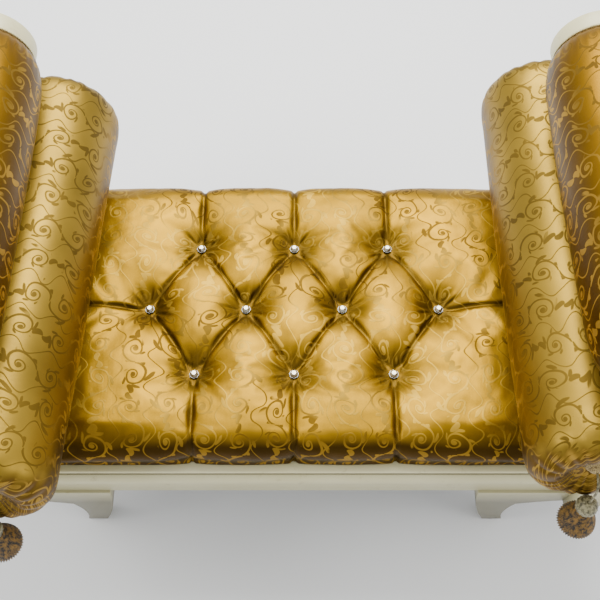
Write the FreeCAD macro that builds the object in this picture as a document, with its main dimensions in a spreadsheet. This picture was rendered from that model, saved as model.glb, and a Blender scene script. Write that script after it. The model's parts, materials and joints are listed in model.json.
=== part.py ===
import FreeCAD, Part
import math
import os
from types import SimpleNamespace

import Sketcher
from FreeCAD import Placement, Rotation, Vector

# Recamier with a tufted seat, two lyre-shaped scrolled arms and a loose bolster in each arm.
# X runs along the length, Y from front to back, Z up from the floor. Lengths are in mm, angles in degrees.
# The origin is on the floor under the middle of the object's box.

SIZES = [
    ("seat_middle_y", 3.5, "seat's middle plane behind the origin"),
    ("seat_top", 430, "top of the tufted seat above the floor"),
    ("seat_drop", 75, "height of the upholstered seat edge"),
    ("seat_half_depth", 266.5, "seat's middle plane to its fabric edge"),
    ("seat_crown", 8, "rise of the seat from its shoulders to its middle"),
    ("seat_shoulder", 30, "radius of the rounded upper edge of the seat"),
    ("seat_tuck", 4, "how far the seat's sides pull in"),
    ("soft_gap", 0.3, "space between soft pieces that only lie together"),
    ("wood_fit", 0.1, "space around a bolt, dowel or twine in its hole"),
    ("rail_reveal", 6, "seat rail proud of the fabric edge"),
    ("rail_height", 76, "seat rail from top to bottom"),
    ("rail_thickness", 34, "seat rail from front to back, without its moulding"),
    ("moulding_bead", 5, "radius of the bead along the top of the front rail"),
    ("bead_height", 9, "height of that bead"),
    ("moulding_groove", 3, "plain groove under the bead"),
    ("moulding_band", 24, "height of the convex band"),
    ("band_step", 2, "step from the groove out to the band"),
    ("band_round", 19, "height of the band's rounded part"),
    ("band_radius", 23, "radius of that part"),
    ("moulding_proud", 10, "how far the band stands out of the rail"),
    ("frieze_proud", 7, "how far the lower frieze stands out of the rail"),
    ("end_rail_thickness", 40, "end rail along the length"),
    ("end_rail_lap", 18, "seat edge that rests on the end rail"),
    ("cross_rail_width", 45, "cross rail along the length"),
    ("cross_rail_depth", 25, "cross rail from top to bottom"),
    ("cross_rail_place", 165, "cross rail's middle from the middle of the seat"),
    ("corner_block_leg", 60, "short side of a corner block"),
    ("corner_block_height", 45, "height of a corner block"),
    ("nest_place", 449.5, "middle of the object to the centre of the arm's hollow"),
    ("nest_rise", 100, "centre of the arm's hollow above the seat"),
    ("nest_radius", 108, "radius of the arm's hollow over its padding"),
    ("belly_padding", 18, "thickness of the padding in the hollow"),
    ("belly_high", 80, "angle of the padding's upper end round the hollow"),
    ("belly_low", -58, "angle where the padding's back turns straight down"),
    ("web_thickness", 2, "stretched web behind the padding"),
    ("board_band", 48, "width of the scroll board round the hollow"),
    ("board_thickness", 28, "scroll board from front to back"),
    ("board_foot_place", 470, "middle of the object to the board's inner lower edge"),
    ("board_foot_height", 208, "board's lowest corner above the floor"),
    ("board_sweep", 470, "radius of the board's lower sweep"),
    ("board_neck", 62, "radius of the hollow under the scroll, outside"),
    ("board_high", 76, "angle of the board's upper end round the hollow"),
    ("board_low", -62, "angle of the board's lower end round the hollow"),
    ("neck_start", 38, "angle round the hollow where the neck starts"),
    ("neck_end", -20, "angle round the scroll where the neck ends"),
    ("neck_sink", 0.88, "depth of the neck's end in the scroll, as a part of the scroll's radius"),
    ("sweep_start", -10, "angle round the hollow where the lower sweep starts"),
    ("roll_out", 30.5, "centre of the roll outside the centre of the hollow"),
    ("roll_up", 199, "centre of the roll above the centre of the hollow"),
    ("scroll_radius", 72, "radius of the show-wood scroll"),
    ("roll_seam", 62, "radius of the seam between the roll's fabric and the show-wood"),
    ("roll_radius", 92, "radius of the padded roll at its middle"),
    ("roll_crown", 2.5, "how much the roll thins towards its ends"),
    ("roll_shoulder", 60, "length of the roll's rounded end"),
    ("batten_radius", 25, "radius of the batten inside the roll"),
    ("trim_inset", 6.5, "braid's inner edge outside the seam"),
    ("trim_width", 4.5, "width of the braid along that seam"),
    ("trim_height", 3.5, "height of that braid"),
    ("trim_reach", 250, "angle that the braid covers"),
    ("panel_thickness", 5, "padded outside panel of the arm"),
    ("panel_reveal", 2, "outside panel below the board's edge"),
    ("panel_end", -25, "angle round the roll where the panel ends outside"),
    ("panel_end_inside", -28, "angle round the roll where the panel ends inside"),
    ("lower_batten_width", 12, "batten that holds the outside panel and the dust cover"),
    ("leg_inner_place", 310, "middle of the object to the leg's inner edge at the rail"),
    ("leg_foot_inner", 364, "middle of the object to the foot's inner edge"),
    ("leg_foot_width", 38, "foot along the length"),
    ("leg_knee_place", 396, "middle of the object to the point where bracket and leg meet"),
    ("leg_knee_height", 172, "height of that point above the floor"),
    ("leg_thickness", 40, "leg from front to back at the rail"),
    ("leg_foot_thickness", 28, "leg from front to back at the foot"),
    ("leg_set_back", 42, "foot's front face behind the leg's front face"),
    ("leg_proud", 12, "leg's front face in front of the rail"),
    ("leg_inner_bow", 1400, "radius of the leg's inner edge"),
    ("leg_outer_bow", 400, "radius of the leg's outer edge"),
    ("bracket_bow", 300, "radius of the bracket's lower edge"),
    ("glide_radius", 9, "radius of a foot glide"),
    ("glide_height", 4, "height of a foot glide"),
    ("bolt_radius", 4, "radius of a leg bolt"),
    ("bolt_head_radius", 8, "radius of a leg bolt's head"),
    ("bolt_head_height", 6, "height of a leg bolt's head"),
    ("bolt_depth", 55, "length of a leg bolt in the leg"),
    ("bolt_spread", 70, "distance between the bolts of one leg"),
    ("bolt_inset", 36, "first bolt from the leg's inner edge"),
    ("dowel_radius", 5, "radius of a dowel"),
    ("dowel_length", 36, "length of a dowel"),
    ("dowel_spread", 32, "distance between the two dowels of a board's foot"),
    ("screw_radius", 2.5, "radius of a corner block screw"),
    ("screw_inset", 37, "corner block screw from the corner of the frame"),
    ("screw_depth", 18, "length of a corner block screw in its rail"),
    ("strap_width", 50, "width of a webbing strap"),
    ("strap_thickness", 2, "thickness of a webbing strap"),
    ("strap_margin", 14, "webbing on the rail"),
    ("hessian_thickness", 1.5, "thickness of the hessian"),
    ("foam_height", 34, "height of the foam slab"),
    ("cover_edge", 14, "thickness of the seat's upholstered edge, front and back"),
    ("cover_end_edge", 6, "thickness of the seat's upholstered edge at the arms"),
    ("tuft_pitch_x", 165, "distance between tuft buttons along the seat"),
    ("tuft_pitch_y", 123, "distance between tuft rows"),
    ("tuft_row_shift", -1.5, "middle tuft row behind the seat's middle plane"),
    ("tuft_depth", 26, "depth of a tuft below the seat's top"),
    ("tuft_radius", 46, "radius of a tuft's funnel"),
    ("tuft_gathers", 6, "gathers round a tuft"),
    ("gather_draw", 0.84, "how far a gather is drawn in, as a part of the funnel's radius"),
    ("pleat_depth", 12, "depth of a pleat"),
    ("pleat_half_width", 32, "half of a pleat's width"),
    ("edge_pleat_part", 0.6, "size of a pleat down the seat's edge, as a part of a pleat on top"),
    ("button_radius", 8, "radius of a tuft button's cup"),
    ("cup_height", 4, "height of a tuft button's cup"),
    ("crystal_radius", 7.5, "radius of the cut crystal"),
    ("crystal_height", 6, "height of the cut crystal"),
    ("twine_radius", 1, "radius of the tufting twine"),
    ("toggle_width", 20, "width of the toggle under the hessian"),
    ("toggle_height", 2, "height of that toggle"),
    ("dust_cover_thickness", 1, "thickness of the dust cover"),
    ("dust_cover_lap", 5, "dust cover on the rails"),
    ("bolster_length", 730, "length of a bolster"),
    ("bolster_radius", 103, "radius of a bolster at its middle"),
    ("bolster_taper", 2, "how much a bolster thins towards its ends"),
    ("bolster_shoulder", 36, "length of a bolster's rounded end"),
    ("bolster_rim", 64, "radius of the ring where a bolster's end is furthest out"),
    ("bolster_dish", 22, "depth of the gathered dish in a bolster's end"),
    ("gather_count", 20, "gathers on each bolster end"),
    ("gather_depth", 5, "depth of a gather"),
    ("right_bolster_lean", 14.5, "right bolster's axis inside the centre of the arm's hollow"),
    ("right_bolster_y", 15, "right bolster's middle behind the seat's middle plane"),
    ("left_bolster_lean", 24.2, "left bolster's axis inside the centre of the arm's hollow"),
    ("left_bolster_y", -21.5, "left bolster's middle behind the seat's middle plane"),
    ("left_bolster_turn", -2.5, "turn of the left bolster about the vertical"),
    ("rosette_radius", 17, "radius of the rosette on a bolster's end"),
    ("rosette_height", 14, "height of that rosette"),
    ("rosette_tip", 4, "radius of the rosette's flat tip"),
    ("tassel_cord", 2, "radius of a tassel's cord"),
    ("tassel_reach", 23.5, "tassel in front of its rosette's tip"),
    ("tassel_neck", 58, "rosette's centre to the top of the tassel's head"),
    ("tassel_head_radius", 17, "radius of a tassel's head"),
    ("tassel_head", 30, "height of a tassel's head"),
    ("skirt_length", 56, "length of a tassel's skirt"),
    ("skirt_top", 12, "radius of a skirt at its top"),
    ("skirt_end", 31, "radius of a skirt at its end"),
]

# Profiles of the padded and turned pieces: share of the radius, or of its fall, and share of the length.
ROLL_END = [(0.2, 0.45), (0.65, 0.1)]
CUP_FORM = [(0.6, 0), (1, 1)]
CRYSTAL_FORM = [(1, 0), (0.92, 0.35), (0.5, 1)]
ROSETTE_FORM = [(1, 0), (0.88, 0.4), (0.6, 0.8)]
HEAD_FORM = [(0.92, 0.75), (1, 0.5), (0.75, 0.16), (0.3, 0)]
SKIRT_FORM = [(1, 1), (0.86, 0.7), (0.45, 0.3), (0, 0)]
# Share of a fold's width and depth, and share of a funnel's width and depth.
FOLD_FORM = [(0.55, 0.15), (0.2, 0.55)]
FUNNEL_FORM = [(0, 0), (0.3, 0.68), (1, 1)]
# A bolster's rounded end: share of its fall, of its shoulder and of its folds.
BOLSTER_END = [(0.16, 0.5, 0.4), (0.55, 0.12, 1)]
ROLL_SIDES = 28
# How far a tool that opens a pleat runs past the edge of the seat.
PAST_EDGE = 5
# Bend points of a tassel's cord, as shares of its reach and its drop, and how far an arc cuts a run back.
CORD_LEVEL = 0.55
CORD_TURN = 0.24
CUT_BACK = 0.45
TRIM_STEPS = 18


class Size:
    """A number together with the expression that gives it from the sheet."""

    def __init__(self, value, text=None):
        self.value = float(value)
        self.text = repr(float(value)) if text is None else text

    def joined(self, sign, other, value):
        return Size(value, "({} {} {})".format(self.text, sign, other.text))

    def __add__(self, other):
        other = as_size(other)
        return self.joined("+", other, self.value + other.value)

    def __radd__(self, other):
        return as_size(other) + self

    def __sub__(self, other):
        other = as_size(other)
        return self.joined("-", other, self.value - other.value)

    def __rsub__(self, other):
        return as_size(other) - self

    def __mul__(self, other):
        other = as_size(other)
        return self.joined("*", other, self.value * other.value)

    def __rmul__(self, other):
        return as_size(other) * self

    def __truediv__(self, other):
        other = as_size(other)
        return self.joined("/", other, self.value / other.value)

    def integer(self):
        return int(round(self.value))

    def __neg__(self):
        return Size(-self.value, "(0 - {})".format(self.text))


def as_size(number):
    return number if isinstance(number, Size) else Size(number)


def cosine(angle):
    angle = as_size(angle)
    return Size(math.cos(math.radians(angle.value)), "cos({})".format(angle.text))


def sine(angle):
    angle = as_size(angle)
    return Size(math.sin(math.radians(angle.value)), "sin({})".format(angle.text))


def square_root(number):
    return Size(math.sqrt(number.value), "sqrt({})".format(number.text))


def on_circle(centre, radius, angle):
    return (centre[0] + radius * cosine(angle), centre[1] + radius * sine(angle))


doc = FreeCAD.newDocument("Recamier")
sheet = doc.addObject("Spreadsheet::Sheet", "Sizes")
for row, (name, number, meaning) in enumerate(SIZES, start=1):
    sheet.set("A{}".format(row), meaning)
    sheet.set("B{}".format(row), str(number))
    sheet.setAlias("B{}".format(row), name)
doc.recompute()
s = SimpleNamespace(**{name: Size(sheet.get(name), "Sizes." + name) for name, number, meaning in SIZES})

nodes = []


def node(thing, label):
    """Keeps a finished sub-part under the name of its file."""
    thing.Label = label
    nodes.append(thing)
    return thing


def bind(thing, **sizes):
    for name, size in sizes.items():
        thing.setExpression(name, as_size(size).text)


def place(thing, x=0, y=0, z=0):
    """Sets a position that follows the sheet, measured from the seat's middle plane in Y."""
    thing.setExpression("Placement.Base.x", as_size(x).text)
    thing.setExpression("Placement.Base.y", (s.seat_middle_y + y).text)
    thing.setExpression("Placement.Base.z", as_size(z).text)


def plane_of(body, role):
    return [feature for feature in body.Origin.OriginFeatures if feature.Role == role][0]


def point(corner):
    return Vector(corner[0].value, corner[1].value, 0)


def arc_between(start, end, radius, side):
    """Arc of less than half a circle; side is 1 where its centre lies left of the way from start to end."""
    half = (end - start) / 2
    across = Vector(-half.y, half.x, 0).normalize()
    rise = math.sqrt(radius**2 - half.Length**2)
    centre = start + half + across * (side * rise)
    first, last = (start, end) if side > 0 else (end, start)
    first_angle = math.atan2(first.y - centre.y, first.x - centre.x)
    last_angle = math.atan2(last.y - centre.y, last.x - centre.x)
    return Part.ArcOfCircle(Part.Circle(centre, Vector(0, 0, 1), radius), first_angle, last_angle)


def outline(body, name, role, corners, arcs):
    """Closed sketch through the corners; arcs gives radius and side for the edge that starts at a corner."""
    sketch = body.newObject("Sketcher::SketchObject", name)
    sketch.AttachmentSupport = [(plane_of(body, role), "")]
    sketch.MapMode = "FlatFace"
    corners = [(as_size(u), as_size(v)) for u, v in corners]
    count = len(corners)
    first_points = []
    last_points = []
    for index in range(count):
        start = point(corners[index])
        end = point(corners[(index + 1) % count])
        if index in arcs:
            radius, side = arcs[index]
            sketch.addGeometry(arc_between(start, end, as_size(radius).value, side))
            first_points.append(1 if side > 0 else 2)
            last_points.append(2 if side > 0 else 1)
        else:
            sketch.addGeometry(Part.LineSegment(start, end))
            first_points.append(1)
            last_points.append(2)
    for index in range(count):
        following = (index + 1) % count
        join = Sketcher.Constraint("Coincident", index, last_points[index],
                                   following, first_points[following])
        sketch.addConstraint(join)
    for index, corner in enumerate(corners):
        for kind, size in zip(("DistanceX", "DistanceY"), corner):
            datum = Sketcher.Constraint(kind, -1, 1, index, first_points[index], size.value)
            place_in_list = sketch.addConstraint(datum)
            sketch.setExpression("Constraints[{}]".format(place_in_list), size.text)
    for index, (radius, side) in arcs.items():
        place_in_list = sketch.addConstraint(Sketcher.Constraint("Radius", index, as_size(radius).value))
        sketch.setExpression("Constraints[{}]".format(place_in_list), as_size(radius).text)
    return sketch


def sawn(label, role, corners, arcs, thickness):
    """Body sawn to an outline, with its thickness half to each side of the sketch."""
    body = doc.addObject("PartDesign::Body", label)
    sketch = outline(body, label + "_outline", role, corners, arcs)
    pad = body.newObject("PartDesign::Pad", label + "_pad")
    pad.Profile = sketch
    pad.SideType = "Symmetric"
    bind(pad, Length=thickness)
    return body


def rod(name, radius, length, x, y, z, along="z", sides=0):
    """Bar that starts at a point and runs along an axis, round or with flat sides."""
    bar = doc.addObject("Part::Prism" if sides else "Part::Cylinder", name)
    if sides:
        bar.Polygon = sides
        bind(bar, Circumradius=radius, Height=length)
    else:
        bind(bar, Radius=radius, Height=length)
    turns = {"z": Rotation(), "y": Rotation(Vector(1, 0, 0), -90), "x": Rotation(Vector(0, 1, 0), 90)}
    bar.Placement = Placement(Vector(), turns[along])
    place(bar, x, y, z)
    return bar


def slab(name, length, width, height, x, y, z):
    """Block centred on x and y with its underside at z."""
    block = doc.addObject("Part::Box", name)
    bind(block, Length=length, Width=width, Height=height)
    place(block, x - as_size(length) / 2, y - as_size(width) / 2, z)
    return block


def face_of(edges):
    return Part.Face(Part.Wire(edges))


def ring_of(radii, height):
    """Closed ring of corners round the Z axis; the radii repeat in turn."""
    count = len(radii)
    step = 2 * math.pi / count
    return [Vector(radius * math.cos(step * index), radius * math.sin(step * index), height)
            for index, radius in enumerate(radii)]


def facets_between(rings):
    """Solid with flat faces between rings of corners, closed flat at its first and last ring."""
    faces = [face_of(Part.makePolygon(ring + ring[:1]).Edges) for ring in (rings[0], rings[-1])]
    for low, high in zip(rings, rings[1:]):
        for index in range(len(low)):
            following = (index + 1) % len(low)
            corners = [low[index], low[following], high[following], high[index]]
            normal = (corners[1] - corners[0]).cross(corners[3] - corners[0]).normalize()
            flat = abs(normal.dot(corners[2] - corners[0])) < 1e-6
            shares = [corners] if flat else [corners[:3], [corners[2], corners[3], corners[0]]]
            for share in shares:
                faces.append(face_of(Part.makePolygon(share + share[:1]).Edges))
    skin = Part.makeCompound(faces)
    skin.sewShape()
    solid = Part.makeSolid(skin.Shells[0])
    if solid.Volume < 0:
        solid.reverse()
    return solid


def faceted(name, sides, rings):
    """Piece with flat facets between many-sided rings, given as radius and height along its own axis."""
    piece = doc.addObject("Part::Feature", name)
    piece.Shape = facets_between([ring_of([as_size(radius).value] * sides, as_size(height).value)
                                  for radius, height in rings])
    return piece


def group(name, pieces):
    together = doc.addObject("Part::Compound", name)
    together.Links = pieces
    return together


def fused(name, pieces):
    whole = doc.addObject("Part::MultiFuse", name)
    whole.Shapes = pieces
    return whole


def cut(name, base, tool):
    rest = doc.addObject("Part::Cut", name)
    rest.Base = base
    rest.Tool = tool
    return rest


def mirrored(name, source, normal):
    """Copy on the other side of the object's length (X) or of the seat's middle plane (Y)."""
    copy = doc.addObject("Part::Mirroring", name)
    copy.Source = source
    copy.Normal = normal
    copy.setExpression("Base.y", s.seat_middle_y.text)
    return copy


ALONG = Vector(1, 0, 0)
DEEP = Vector(0, 1, 0)
along_y = Rotation(ALONG, -90)

rail_top = s.seat_top - s.seat_drop
rail_bottom = rail_top - s.rail_height
rail_face = s.seat_half_depth + s.rail_reveal
rail_back = rail_face - s.rail_thickness
board_middle = rail_face + s.board_thickness / 2
nest = (s.nest_place, s.seat_top + s.nest_rise)
roll = (nest[0] + s.roll_out, nest[1] + s.roll_up)
pad_tail = nest[0] + square_root(s.nest_radius * s.nest_radius - s.nest_rise * s.nest_rise)
web_tail = pad_tail + s.belly_padding
seat_half_length = pad_tail - s.soft_gap
end_rail_inner = seat_half_length - s.end_rail_lap
end_rail_outer = end_rail_inner + s.end_rail_thickness

tuft_rows = [(-1, [-1, 0, 1]), (0, [-1.5, -0.5, 0.5, 1.5]), (1, [-1, 0, 1])]
tufts = []
for row_number, columns in tuft_rows:
    for column in columns:
        tufts.append((s.tuft_pitch_x * column, s.tuft_row_shift + s.tuft_pitch_y * row_number))


def bow(half_chord, rise):
    """Radius of a flat arc with that rise over its chord."""
    return (half_chord * half_chord + rise * rise) / (rise * 2)


def bolt_rods(name, clearance):
    """Leg bolts, or the holes for them: two upright bolts over each leg."""
    pieces = []
    for side in (-1, 1):
        for face in (-1, 1):
            for turn in (0, 1):
                x = (s.leg_inner_place + s.bolt_inset + s.bolt_spread * turn) * side
                y = (rail_face + rail_back) / 2 * face
                low = rail_bottom - s.bolt_depth
                length = rail_top - s.bolt_head_height - low
                shank = rod(name + "_shank", s.bolt_radius + clearance, length, x, y, low, sides=8)
                head = rod(name + "_head", s.bolt_head_radius + clearance, s.bolt_head_height,
                           x, y, rail_top - s.bolt_head_height, sides=6)
                pieces.append(fused(name + "_bolt", [shank, head]))
    return group(name, pieces)


def dowel_rods(name, clearance):
    """Dowels, or the holes for them: two behind each board's foot and one at each end of a roll batten."""
    pieces = []
    foot_x = (s.board_foot_place + end_rail_outer) / 2
    foot_z = (rail_top + rail_bottom) / 2
    for side in (-1, 1):
        for face in (-1, 1):
            y = rail_face * face - s.dowel_length / 2
            for lift in (-0.5, 0.5):
                z = foot_z + s.dowel_spread * lift
                pieces.append(rod(name + "_foot", s.dowel_radius + clearance, s.dowel_length,
                                  foot_x * side, y, z, "y", 8))
            pieces.append(rod(name + "_batten", s.dowel_radius + clearance, s.dowel_length,
                              roll[0] * side, y, roll[1], "y", 8))
    return group(name, pieces)


def screw_rods(name, clearance):
    """Corner block screws, or the holes for them: one into each of the two rails that a block joins."""
    pieces = []
    z = rail_bottom + s.rail_height / 2
    inset = s.screw_inset
    reach = s.corner_block_leg - inset
    length = reach + s.screw_depth
    for side in (-1, 1):
        for face in (-1, 1):
            near_y = (rail_back - reach) * face if face > 0 else rail_back * face - s.screw_depth
            pieces.append(rod(name + "_deep", s.screw_radius + clearance, length,
                              (end_rail_inner - inset) * side, near_y, z, "y", 6))
            near_x = (end_rail_inner - reach) * side if side > 0 else end_rail_inner * side - s.screw_depth
            pieces.append(rod(name + "_along", s.screw_radius + clearance, length,
                              near_x, (rail_back - inset) * face, z, "x", 6))
    return group(name, pieces)


def twine_rods(name, radius, bottom, top):
    """Twines, or the holes for them, under the ten tufts."""
    return group(name, [rod(name + "_twine", radius, top - bottom, x, y, bottom, sides=6) for x, y in tufts])


bolt_holes = bolt_rods("bolt_holes", s.wood_fit)
dowel_holes = dowel_rods("dowel_holes", s.wood_fit)
screw_holes = screw_rods("screw_holes", s.wood_fit)


# Seat frame: moulded front and back rails, end rails between them, cross rails and corner blocks.

def seat_rail():
    length = end_rail_outer * 2
    middle = (rail_face + rail_back) / 2
    board = slab("rail_board", length, s.rail_thickness, s.rail_height, 0, -middle, rail_bottom)
    bead_end = rail_top - s.bead_height
    band_start = bead_end - s.moulding_groove
    corners = [
        (-rail_back, rail_top),
        (-rail_face, rail_top),
        (-rail_face, bead_end),
        (-rail_face, band_start),
        (-rail_face - s.band_step, band_start),
        (-rail_face - s.moulding_proud, band_start - s.band_round),
        (-rail_face - s.moulding_proud, band_start - s.moulding_band),
        (-rail_face - s.frieze_proud, band_start - s.moulding_band),
        (-rail_face - s.frieze_proud, rail_bottom),
        (-rail_back, rail_bottom),
    ]
    arcs = {1: (s.moulding_bead, 1), 4: (s.band_radius, 1)}
    moulding = sawn("rail_moulding", "YZ_Plane", corners, arcs, s.board_foot_place * 2)
    place(moulding)
    whole = fused("rail_whole", [board, moulding])
    return cut("rail_bored", whole, fused("rail_holes", [bolt_holes, dowel_holes, screw_holes]))


front_rail = node(seat_rail(), "front_seat_rail")
node(mirrored("back_rail", front_rail, DEEP), "back_seat_rail")

for side, word in ((-1, "left"), (1, "right")):
    end_rail = slab(word + "_end", s.end_rail_thickness, rail_back * 2, s.rail_height,
                    (end_rail_inner + end_rail_outer) / 2 * side, 0, rail_bottom)
    node(cut(word + "_end_bored", end_rail, screw_holes), word + "_end_rail")

cross_rails = [slab("cross_rail", s.cross_rail_width, rail_back * 2, s.cross_rail_depth,
                    s.cross_rail_place * side, 0, rail_bottom) for side in (-1, 1)]
node(group("cross_rail_pair", cross_rails), "cross_rails")


def corner_block():
    corners = [
        (end_rail_inner - s.corner_block_leg, -rail_back),
        (end_rail_inner, -rail_back),
        (end_rail_inner, -rail_back + s.corner_block_leg),
    ]
    block = sawn("corner_block", "XY_Plane", corners, {}, s.corner_block_height)
    place(block, 0, 0, rail_bottom + s.rail_height / 2)
    return cut("corner_block_bored", block, screw_holes)


right_front_block = corner_block()
left_front_block = mirrored("left_front_block", right_front_block, ALONG)
right_back_block = mirrored("right_back_block", right_front_block, DEEP)
left_back_block = mirrored("left_back_block", left_front_block, DEEP)
blocks = [right_front_block, left_front_block, right_back_block, left_back_block]
node(group("blocks", blocks), "corner_blocks")
node(screw_rods("block_screws", as_size(0)), "corner_block_screws")
node(bolt_rods("bolts", as_size(0)), "leg_bolts")
node(dowel_rods("dowels", as_size(0)), "frame_dowels")


# Sabre legs: sawn once to the sweep of leg and bracket and once to the taper seen from the side.

leg_foot_outer = s.leg_foot_inner + s.leg_foot_width


def leg():
    front = -rail_face - s.leg_proud
    sweep = [
        (s.leg_inner_place, rail_bottom),
        (s.leg_foot_inner, s.glide_height),
        (leg_foot_outer, s.glide_height),
        (s.leg_knee_place, s.leg_knee_height),
        (s.board_foot_place, s.board_foot_height),
        (s.board_foot_place, rail_bottom),
    ]
    arcs = {0: (s.leg_inner_bow, 1), 2: (s.leg_outer_bow, -1), 3: (s.bracket_bow, -1)}
    whole_depth = (rail_face + s.leg_proud) * 2
    whole_length = s.board_foot_place * 2
    swept = sawn("leg_sweep", "XZ_Plane", sweep, arcs, whole_depth)
    taper = [
        (front, rail_bottom),
        (front + s.leg_set_back, s.glide_height),
        (front + s.leg_set_back + s.leg_foot_thickness, s.glide_height),
        (front + s.leg_thickness, rail_bottom),
    ]
    tapered = sawn("leg_taper", "YZ_Plane", taper, {}, whole_length)
    place(swept)
    place(tapered)
    blank = doc.addObject("Part::Common", "leg_blank")
    blank.Base = swept
    blank.Tool = tapered
    return cut("leg_bored", blank, bolt_holes)


right_front_leg = node(leg(), "right_front_leg")
left_front_leg = node(mirrored("left_front", right_front_leg, ALONG), "left_front_leg")
node(mirrored("right_back", right_front_leg, DEEP), "right_back_leg")
node(mirrored("left_back", left_front_leg, DEEP), "left_back_leg")

glides = []
glide_x = (s.leg_foot_inner + leg_foot_outer) / 2
glide_y = rail_face + s.leg_proud - s.leg_set_back - s.leg_foot_thickness / 2
for side in (-1, 1):
    for face in (-1, 1):
        glides.append(rod("glide", s.glide_radius, s.glide_height,
                          glide_x * side, glide_y * face, 0, sides=16))
node(group("glide_set", glides), "foot_glides")


# Arms: scroll boards front and back, a batten inside the roll, stretched web, padding and outside panel.

band_inner = s.nest_radius + s.belly_padding + s.web_thickness
band_outer = band_inner + s.board_band
belly_top = on_circle(nest, band_outer, s.sweep_start)
board_foot = (s.board_foot_place, s.board_foot_height)


def sweep_centre():
    """Centre of the board's lower sweep, which lies on the seat's side of it."""
    half_x = (board_foot[0] - belly_top[0]) / 2
    half_z = (board_foot[1] - belly_top[1]) / 2
    half = square_root(half_x * half_x + half_z * half_z)
    rise = square_root(s.board_sweep * s.board_sweep - half * half)
    return (belly_top[0] + half_x + half_z / half * rise, belly_top[1] + half_z - half_x / half * rise)


def scroll_board():
    corners = [
        board_foot,
        (s.board_foot_place, rail_top),
        on_circle(nest, band_inner, s.board_low),
        on_circle(nest, band_inner, s.board_high),
        roll,
        on_circle(roll, s.scroll_radius * s.neck_sink, s.neck_end),
        on_circle(nest, band_outer, s.neck_start),
        belly_top,
    ]
    arcs = {
        2: (band_inner, 1),
        5: (s.board_neck, 1),
        6: (band_outer, -1),
        7: (s.board_sweep, -1),
    }
    band = sawn("board_band", "XZ_Plane", corners, arcs, s.board_thickness)
    place(band, 0, -board_middle, 0)
    scroll = rod("board_scroll", s.scroll_radius, s.board_thickness,
                 roll[0], -rail_face - s.board_thickness, roll[1], "y")
    return cut("board_bored", fused("board_whole", [band, scroll]), dowel_holes)


def arm_padding():
    """Padding of the hollow: inner face round the bolster, tail down to the end rail."""
    outer = s.nest_radius + s.belly_padding
    corners = [
        on_circle(nest, s.nest_radius, s.belly_high),
        (pad_tail, s.seat_top),
        (pad_tail, rail_top),
        (web_tail, rail_top),
        on_circle(nest, outer, s.belly_low),
        on_circle(nest, outer, s.belly_high),
    ]
    arcs = {0: (s.nest_radius, -1), 4: (outer, 1)}
    return belly_piece("padding", corners, arcs)


def arm_web():
    inner = s.nest_radius + s.belly_padding
    corners = [
        on_circle(nest, inner, s.belly_high),
        on_circle(nest, inner, s.belly_low),
        (web_tail, rail_top),
        (web_tail + s.web_thickness, rail_top),
        on_circle(nest, band_inner, s.belly_low),
        on_circle(nest, band_inner, s.belly_high),
    ]
    arcs = {0: (inner, -1), 4: (band_inner, 1)}
    return belly_piece("web", corners, arcs)


def belly_piece(name, corners, arcs):
    """Piece between the boards that ends under the padded roll."""
    sheet_body = sawn(name + "_sheet", "XZ_Plane", corners, arcs, rail_face * 2)
    place(sheet_body)
    clear = rod(name + "_roll_room", s.roll_radius + s.soft_gap, rail_face * 2,
                roll[0], -rail_face, roll[1], "y")
    return cut(name + "_trimmed", sheet_body, clear)


def roll_pad():
    """Padded roll: fullest in the middle, its ends drawn in to the seam at the scroll boards."""
    rim = s.roll_radius - s.roll_crown
    fall = rim - s.roll_seam
    half = [
        (s.roll_radius, 0),
        (rim, rail_face - s.roll_shoulder),
    ]
    half += [(rim - fall * share, rail_face - s.roll_shoulder * left) for share, left in ROLL_END]
    half.append((s.roll_seam, rail_face))
    padding = faceted("roll_padding", ROLL_SIDES, [(radius, -y) for radius, y in reversed(half[1:])] + half)
    padding.Placement = Placement(Vector(), along_y)
    place(padding, roll[0], 0, roll[1])
    bore = rod("roll_bore", s.batten_radius, rail_face * 2, roll[0], -rail_face, roll[1], "y")
    return cut("roll_hollow", padding, bore)


def roll_trim():
    """Braid along the seam of the roll at both ends, from under its outer side over the top to the nest."""
    trims = []
    inner = (s.roll_seam + s.trim_inset).value
    outer = inner + s.trim_width.value
    for face in (-1, 1):
        outside_y = face * rail_face.value
        inside_y = face * (rail_face - s.trim_height).value
        sections = []
        for step in range(TRIM_STEPS + 1):
            turn = math.radians(s.trim_reach.value * (step / TRIM_STEPS - 0.5))
            out = Vector(math.sin(turn), 0, math.cos(turn))
            sections.append([out * radius + Vector(0, y, 0) for radius, y in
                             ((inner, inside_y), (outer, inside_y), (outer, outside_y), (inner, outside_y))])
        trim = doc.addObject("Part::Feature", "trim")
        trim.Shape = facets_between(sections)
        place(trim, roll[0], 0, roll[1])
        trims.append(trim)
    return group("trim_pair", trims)


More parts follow.
